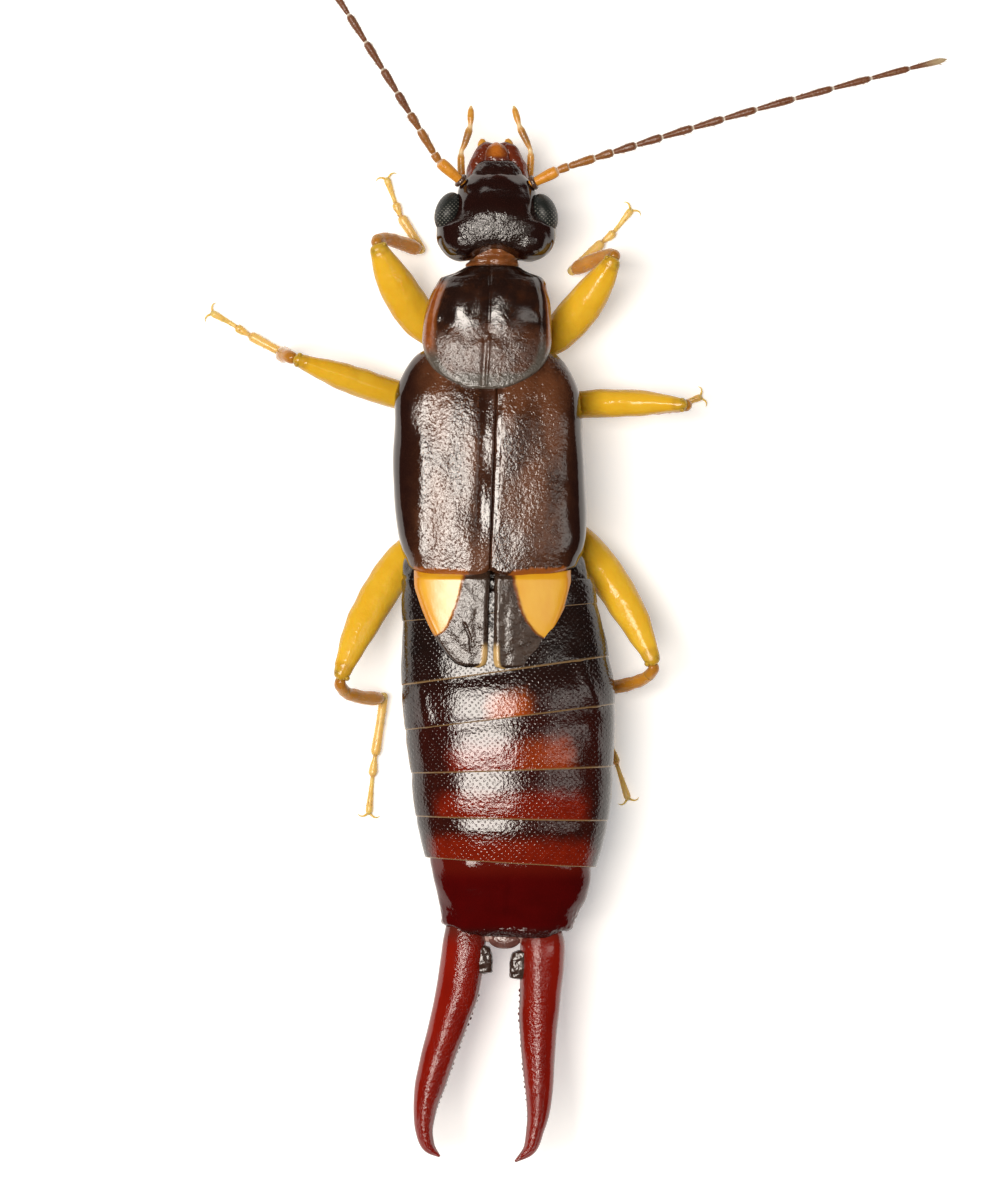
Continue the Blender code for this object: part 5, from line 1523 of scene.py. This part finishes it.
def make_antenna(side, paints):
    name = "antenna_left" if side == LEFT else "antenna_right"
    base, apex = (np.array(point) for point in SCAPE[side])
    joints = antenna_line(side)
    parts = []
    way = apex - base
    line = flowing([base - way * 0.12, base + way * 0.3, base + way * 0.7, apex], 40)
    place = np.linspace(0, 1, 40)
    profile = ((0.0, 0.055), (0.15, 0.068), (0.5, 0.090), (0.82, 0.106), (0.95, 0.098), (1.0, 0.055))
    radius = smooth(profile, place)[:, 0]
    rings, _ = tube_rings(line, radius, radius, (0, 0, 1), 32)
    joint = step_up(0.96, 0.99, place)[:, None] * 0.5
    parts.append((rings, {"scape": 1.0, "joint": joint, "tip": 0.0}))
    line = flowing([apex, apex + (joints[0] - apex) * 0.5, joints[0]], 20)
    place = np.linspace(0, 1, 20)
    radius = smooth(((0.0, 0.060), (0.15, 0.066), (0.6, 0.077), (0.9, 0.076), (1.0, 0.062)), place)[:, 0]
    rings, _ = tube_rings(line, radius, radius, (0, 0, 1), 28)
    joint = np.maximum(step_up(0.12, 0.02, place), step_up(0.93, 0.98, place))[:, None]
    parts.append((rings, {"scape": 0.45, "joint": joint * 0.5, "tip": 0.0}))
    draw = np.random.default_rng(SEED + 30 + side)
    roots = []
    ways = []
    lengths = []
    segments = len(FLAGELLUM_LENGTHS)
    for index in range(segments):
        share = index / (segments - 1)
        radius = CLUB_RADIUS[0] + (CLUB_RADIUS[1] - CLUB_RADIUS[0]) * share
        start = joints[index]
        end = joints[index + 1]
        place = np.linspace(0, 1, 26)
        profile = smooth(CLUB_PROFILE, place)[:, 0]
        if index == 0:
            profile = np.maximum(profile, 0.80 * step_up(0.0, 0.1, place))
        if index == segments - 1:
            profile = profile * np.sqrt(np.clip((1 - place) / 0.25, 0.0, 1.0) * 0.98 + 0.02)
        middles = start + (end - start) * place[:, None]
        rings, _ = tube_rings(middles, profile * radius, profile * radius, (0, 0, 1), 22)
        joint = np.maximum(step_up(0.035, 0.015, place), step_up(0.955, 0.975, place))[:, None]
        if index == segments - 1:
            joint = np.zeros((26, 1))
        tip = step_up(0.2, 0.9, place)[:, None] * (1.0 if index == segments - 1 else 0.0)
        warm = max(0.0, 0.30 - 0.15 * index)
        parts.append((rings, {"scape": warm, "joint": joint, "tip": tip}))
        direction = (end - start) / np.linalg.norm(end - start)
        for _ in range(26):
            spot = draw.uniform(0.12, 0.93)
            turn = draw.uniform(0, 2 * math.pi)
            wide = np.cross(direction, (0, 0, 1))
            wide /= np.linalg.norm(wide)
            out = wide * math.cos(turn) + np.cross(wide, direction) * math.sin(turn)
            reach = radius * smooth(CLUB_PROFILE, spot)[0, 0]
            roots.append(start + (end - start) * spot + out * reach * 0.97)
            ways.append(out * 0.62 + direction)
            lengths.append(draw.uniform(0.05, 0.085))
    points, faces, masks = joined(parts)
    piece(name + "_clubs", points, faces, masks, paints["feeler"], name)
    add_bristles(name + "_hairs", roots, ways, lengths, 0.0035, paints)


def add_bristles(name, roots, ways, lengths, radius, paints):
    parts = bristle_parts(roots, ways, lengths, radius)
    points, faces, masks = joined(parts)
    item = piece(name, points, faces, masks, paints["bristle"])
    add_bake_map(item, len(parts), 11)
    return item


def make_palp(side, paints):
    name = "palp_left" if side == LEFT else "palp_right"
    line = flowing(PALP_POINTS[side], 110)
    place = np.linspace(0, 1, 110)
    radius = smooth(PALP_PROFILE, place)[:, 0]
    rings, _ = tube_rings(line, radius, radius, (0, 0, 1), 28)
    joint = hill(place - 0.515, 0.035) + hill(place - 0.79, 0.03) + step_up(0.95, 1.0, place)
    every = np.ones((1, 28))
    dull = 0.8 * hill(place - 0.66, 0.10)
    masks = {"joint": np.clip(joint, 0, 1)[:, None] * every, "dull": dull[:, None] * every}
    skin(name + "_segments", rings, masks, paints["palp"], name)


def make_leg(name, data, paints):
    side = -1 if "left" in name else 1
    root, hip = (np.array(point) for point in data["hip"])
    knee = np.array(data["knee"])
    ankle = np.array(data["ankle"])
    thigh_way = knee - hip
    reach = np.linalg.norm(thigh_way)
    level = np.array((-thigh_way[1], thigh_way[0], 0.0))
    level /= np.linalg.norm(level)
    parts = []

    coxa = flowing(
        [
            (*(root + np.array((0, 0, 0.16))), 0.20, 0.20),
            (*root.tolist(), 0.25, 0.24),
            (*(root + (hip - root) * 0.6).tolist(), 0.23, 0.21),
            (*hip.tolist(), 0.16, 0.15),
            (*(hip + thigh_way * 0.05).tolist(), 0.05, 0.05),
        ],
        40,
    )
    rings, _ = tube_rings(coxa[:, :3], coxa[:, 3], coxa[:, 4], level, 32)
    parts.append((rings, {"shin": 0.0, "foot": 0.0, "knee": step_up(0.6, 1.0, np.linspace(0, 1, 40))[:, None] * 0.4}))

    start = hip - thigh_way / reach * 0.10
    end = knee + thigh_way / reach * 0.07
    bow = level * data["bow"]
    line = flowing(
        [start, start + (end - start) * 0.35 + bow, start + (end - start) * 0.7 + bow * 0.9, end], 110
    )
    place = np.linspace(0, 1, 110)
    profile = smooth(FEMUR_PROFILE, place)[:, 0]
    width = profile * data["femur_width"] / 2
    height = np.maximum(profile, 0.55 * np.sqrt(profile)) * FEMUR_HEIGHT / 2
    rings, angles = tube_rings(line, width, height, level, 56)
    normals = grid_normals(rings, True)
    relief = 0.006 * waves(rings, 0.5, SEED + 40) + 0.010 * hill(np.degrees(angles)[None, :] - 90, 16)
    relief = relief * (profile[:, None] > 0.5)
    rings = rings + normals * relief[..., None]
    ring_mark = hill(place - 0.93, 0.02) * 0.35 + 0.40 * step_up(0.93, 0.98, place)
    # Painted shade: the femur is painted darker where its surface faces down, through the same mask as the dark knee
    # ring.
    underside_shade = 0.32 * step_up(0.85, 0.25, normals[..., 2])
    parts.append((rings, {"shin": 0.0, "foot": 0.0, "knee": np.maximum(ring_mark[:, None], underside_shade)}))

    ahead = thigh_way / reach
    ahead = np.array((ahead[0], ahead[1], 0.0))
    drop = ankle - knee
    shin_line = flowing(
        [
            knee + ahead * 0.02 + drop * 0.01,
            knee + ahead * 0.15 + drop * 0.08,
            knee + ahead * 0.21 + drop * 0.28,
            knee + ahead * 0.17 + drop * 0.55,
            knee + ahead * 0.08 + drop * 0.82,
            ankle,
        ],
        90,
    )
    place = np.linspace(0, 1, 90)
    radius = smooth(TIBIA_PROFILE, place)[:, 0]
    flat = np.cross(thigh_way, drop)
    flat /= np.linalg.norm(flat)
    rings, _ = tube_rings(shin_line, radius, radius * 0.9, flat, 40)
    normals = grid_normals(rings, True)
    rings = rings + normals * (0.005 * waves(rings, 0.3, SEED + 41))[..., None]
    parts.append((rings, {"shin": 1.0, "foot": 0.0, "knee": step_up(0.16, 0.02, place)[:, None] * 0.45}))
    for turn in (-1, 1):
        at = knee - thigh_way / reach * 0.03 + level * turn * data["femur_width"] * 0.15
        knob = ellipsoid_rings(at, (0.055, 0.055, 0.09), 16, 20)
        parts.append((knob, {"shin": 0.3, "foot": 0.0, "knee": 0.30}))

    first = np.array((*data["foot"][0], 0.17))
    feet = [ankle + np.array((0, 0, 0.02)), first]
    for point in data["foot"][1:]:
        feet.append(np.array((*point, 0.095)))
    foot_line = flowing(feet, 120)
    place = np.linspace(0, 1, 120)
    radius = smooth(TARSUS_PROFILE, place)[:, 0]
    foot_line[:, 2] = np.maximum(foot_line[:, 2] * step_up(1.0, 0.5, place), radius)
    foot_way = foot_line[-1] - foot_line[-12]
    foot_way[2] = 0.0
    foot_way /= np.linalg.norm(foot_way)
    beside = np.array((-foot_way[1], foot_way[0], 0.0))
    rings, _ = tube_rings(foot_line, radius, radius * 0.95, beside, 30)
    rings[..., 2] = np.maximum(rings[..., 2], 0.0)
    dark = hill(place - 0.53, 0.02) * 0.35 + hill(place - 0.69, 0.02) * 0.35
    parts.append((rings, {"shin": 0.0, "foot": 1.0, "knee": dark[:, None]}))
    tip = foot_line[-1].copy()
    for turn in (-CLAW_SPREAD, CLAW_SPREAD):
        angle = math.radians(turn)
        way = foot_way * math.cos(angle) + beside * math.sin(angle)
        points = [
            tip - foot_way * 0.03,
            tip + way * CLAW_LENGTH * 0.45 + foot_way * 0.02 + np.array((0, 0, 0.03)),
            tip + way * CLAW_LENGTH * 0.8 + foot_way * 0.01 + np.array((0, 0, 0.01)),
            tip + way * CLAW_LENGTH - foot_way * 0.03 - np.array((0, 0, 0.03)),
        ]
        claw_line = flowing(points, 22)
        claw_line[:, 2] = np.maximum(claw_line[:, 2], 0.022)
        radius = np.interp(np.linspace(0, 1, 22), (0, 0.3, 1), (0.026, 0.019, 0.004))
        rings, _ = tube_rings(claw_line, radius, radius, (0, 0, 1), 12)
        parts.append((rings, {"shin": 0.3, "foot": 0.6, "knee": 0.15}))
    points, faces, masks = joined(parts)
    piece(name + "_chitin", points, faces, masks, paints["leg"], name)

    draw = np.random.default_rng(SEED + 50 + len(name))
    roots = []
    ways = []
    lengths = []
    for line, profile, count, low, high, size in (
        (shin_line, TIBIA_PROFILE, 22, 0.35, 0.96, 0.06),
        (foot_line, TARSUS_PROFILE, 90, 0.06, 0.96, 0.065),
    ):
        for _ in range(count):
            spot = draw.uniform(low, high)
            index = min(int(spot * (len(line) - 1)), len(line) - 2)
            along = line[index + 1] - line[index]
            along /= np.linalg.norm(along)
            out = draw.normal(size=3)
            out -= out.dot(along) * along
            out /= np.linalg.norm(out)
            root = line[index] + out * smooth(profile, spot)[0, 0] * 0.92
            if root[2] < 0.05:
                continue
            way = out * 0.7 + along
            way[2] = max(way[2], -0.2)
            roots.append(root)
            ways.append(way)
            lengths.append(size * draw.uniform(0.7, 1.2))
    add_bristles(name + "_hairs", roots, ways, lengths, 0.0035, paints)


# Light, floor and camera
def add_light(name, at, aim, size, power, tint):
    data = bpy.data.lights.new(name, "AREA")
    data.shape = "RECTANGLE"
    data.size = size[0] * MM
    data.size_y = size[1] * MM
    data.energy = power
    data.color = tint
    item = bpy.data.objects.new(name, data)
    bpy.context.scene.collection.objects.link(item)
    item.location = Vector(at) * MM
    way = Vector(aim) * MM - item.location
    item.rotation_euler = way.to_track_quat("-Z", "Y").to_euler()
    return item


def set_stage():
    world = bpy.data.worlds.new("studio")
    world.use_nodes = True
    backdrop = world.node_tree.nodes["Background"]
    backdrop.inputs["Color"].default_value = (1.0, 0.99, 0.97, 1.0)
    backdrop.inputs["Strength"].default_value = SKY_STRENGTH
    bpy.context.scene.world = world
    mesh = bpy.data.meshes.new("floor")
    reach = 600.0
    corners = [(-reach, -reach), (reach, -reach), (reach, reach), (-reach, reach)]
    mesh.from_pydata([(x * MM, y * MM, 0.0) for x, y in corners], [], [(0, 1, 2, 3)])
    mesh.materials.append(floor_paint())
    floor = bpy.data.objects.new("floor", mesh)
    bpy.context.scene.collection.objects.link(floor)
    add_light("key", (-54, -1, 170), (0, 0, 0), (76, 104), 0.360, (1.0, 0.93, 0.85))
    add_light("fill", (64, -4, 92), (0, 0, 0), (24, 64), 0.009, (1.0, 0.95, 0.88))

    data = bpy.data.cameras.new("camera")
    data.type = "PERSP"
    data.sensor_fit = "VERTICAL"
    data.sensor_height = SENSOR
    data.sensor_width = SENSOR
    data.lens = SENSOR * VIEW_DISTANCE / VIEW_HEIGHT
    data.clip_start = 0.002
    data.clip_end = 5.0
    camera = bpy.data.objects.new("camera", data)
    bpy.context.scene.collection.objects.link(camera)
    x = VIEW_MIDDLE[0] + SHIFT[0]
    y = VIEW_MIDDLE[1] + SHIFT[1]
    camera.location = (x * MM, y * MM, (VIEW_LEVEL + VIEW_DISTANCE) * MM)
    camera.rotation_euler = (0.0, 0.0, 0.0)
    bpy.context.scene.camera = camera
    bpy.context.scene.view_settings.view_transform = "Standard"


def main():
    paints = {
        "head": head_paint(),
        "eye": eye_paint(),
        "neck": neck_paint(),
        "shield": shield_paint(),
        "breast": breast_paint(),
        "wing_case": wing_case_paint(),
        "wing_tip": wing_tip_paint(),
        "abdomen": abdomen_paint(),
        "last": last_paint(),
        "forceps": forceps_paint(),
        "lobe": lobe_paint(),
        "leg": leg_paint(),
        "feeler": feeler_paint(),
        "palp": palp_paint(),
        "bristle": bristle_paint(),
        "clypeus": jaw_paint("clypeus_chitin", (0.006, 0.0025, 0.002), (0.030, 0.008, 0.005)),
        "labrum": labrum_paint(),
        "mandible": jaw_paint("mandible_chitin", (0.070, 0.009, 0.004), (0.200, 0.036, 0.012)),
        "socket": jaw_paint("socket_chitin", (0.040, 0.016, 0.010), (0.120, 0.060, 0.036)),
        "pygidium": jaw_paint("pygidium_chitin", (0.090, 0.030, 0.024), (0.200, 0.090, 0.075)),
        "membrane": jaw_paint("rear_skin", (0.420, 0.260, 0.230), (0.600, 0.420, 0.380)),
    }
    make_head(paints)
    make_eyes(paints)
    make_neck(paints)
    make_pronotum(paints)
    for side in (LEFT, RIGHT):
        make_tegmen(side, paints)
        make_wing_tip(side, paints)
        make_forceps(side, paints)
        make_antenna(side, paints)
        make_palp(side, paints)
    make_abdomen(paints)
    make_last_segment(paints)
    for name, data in LEGS.items():
        make_leg(name, data, paints)
    set_stage()


main()
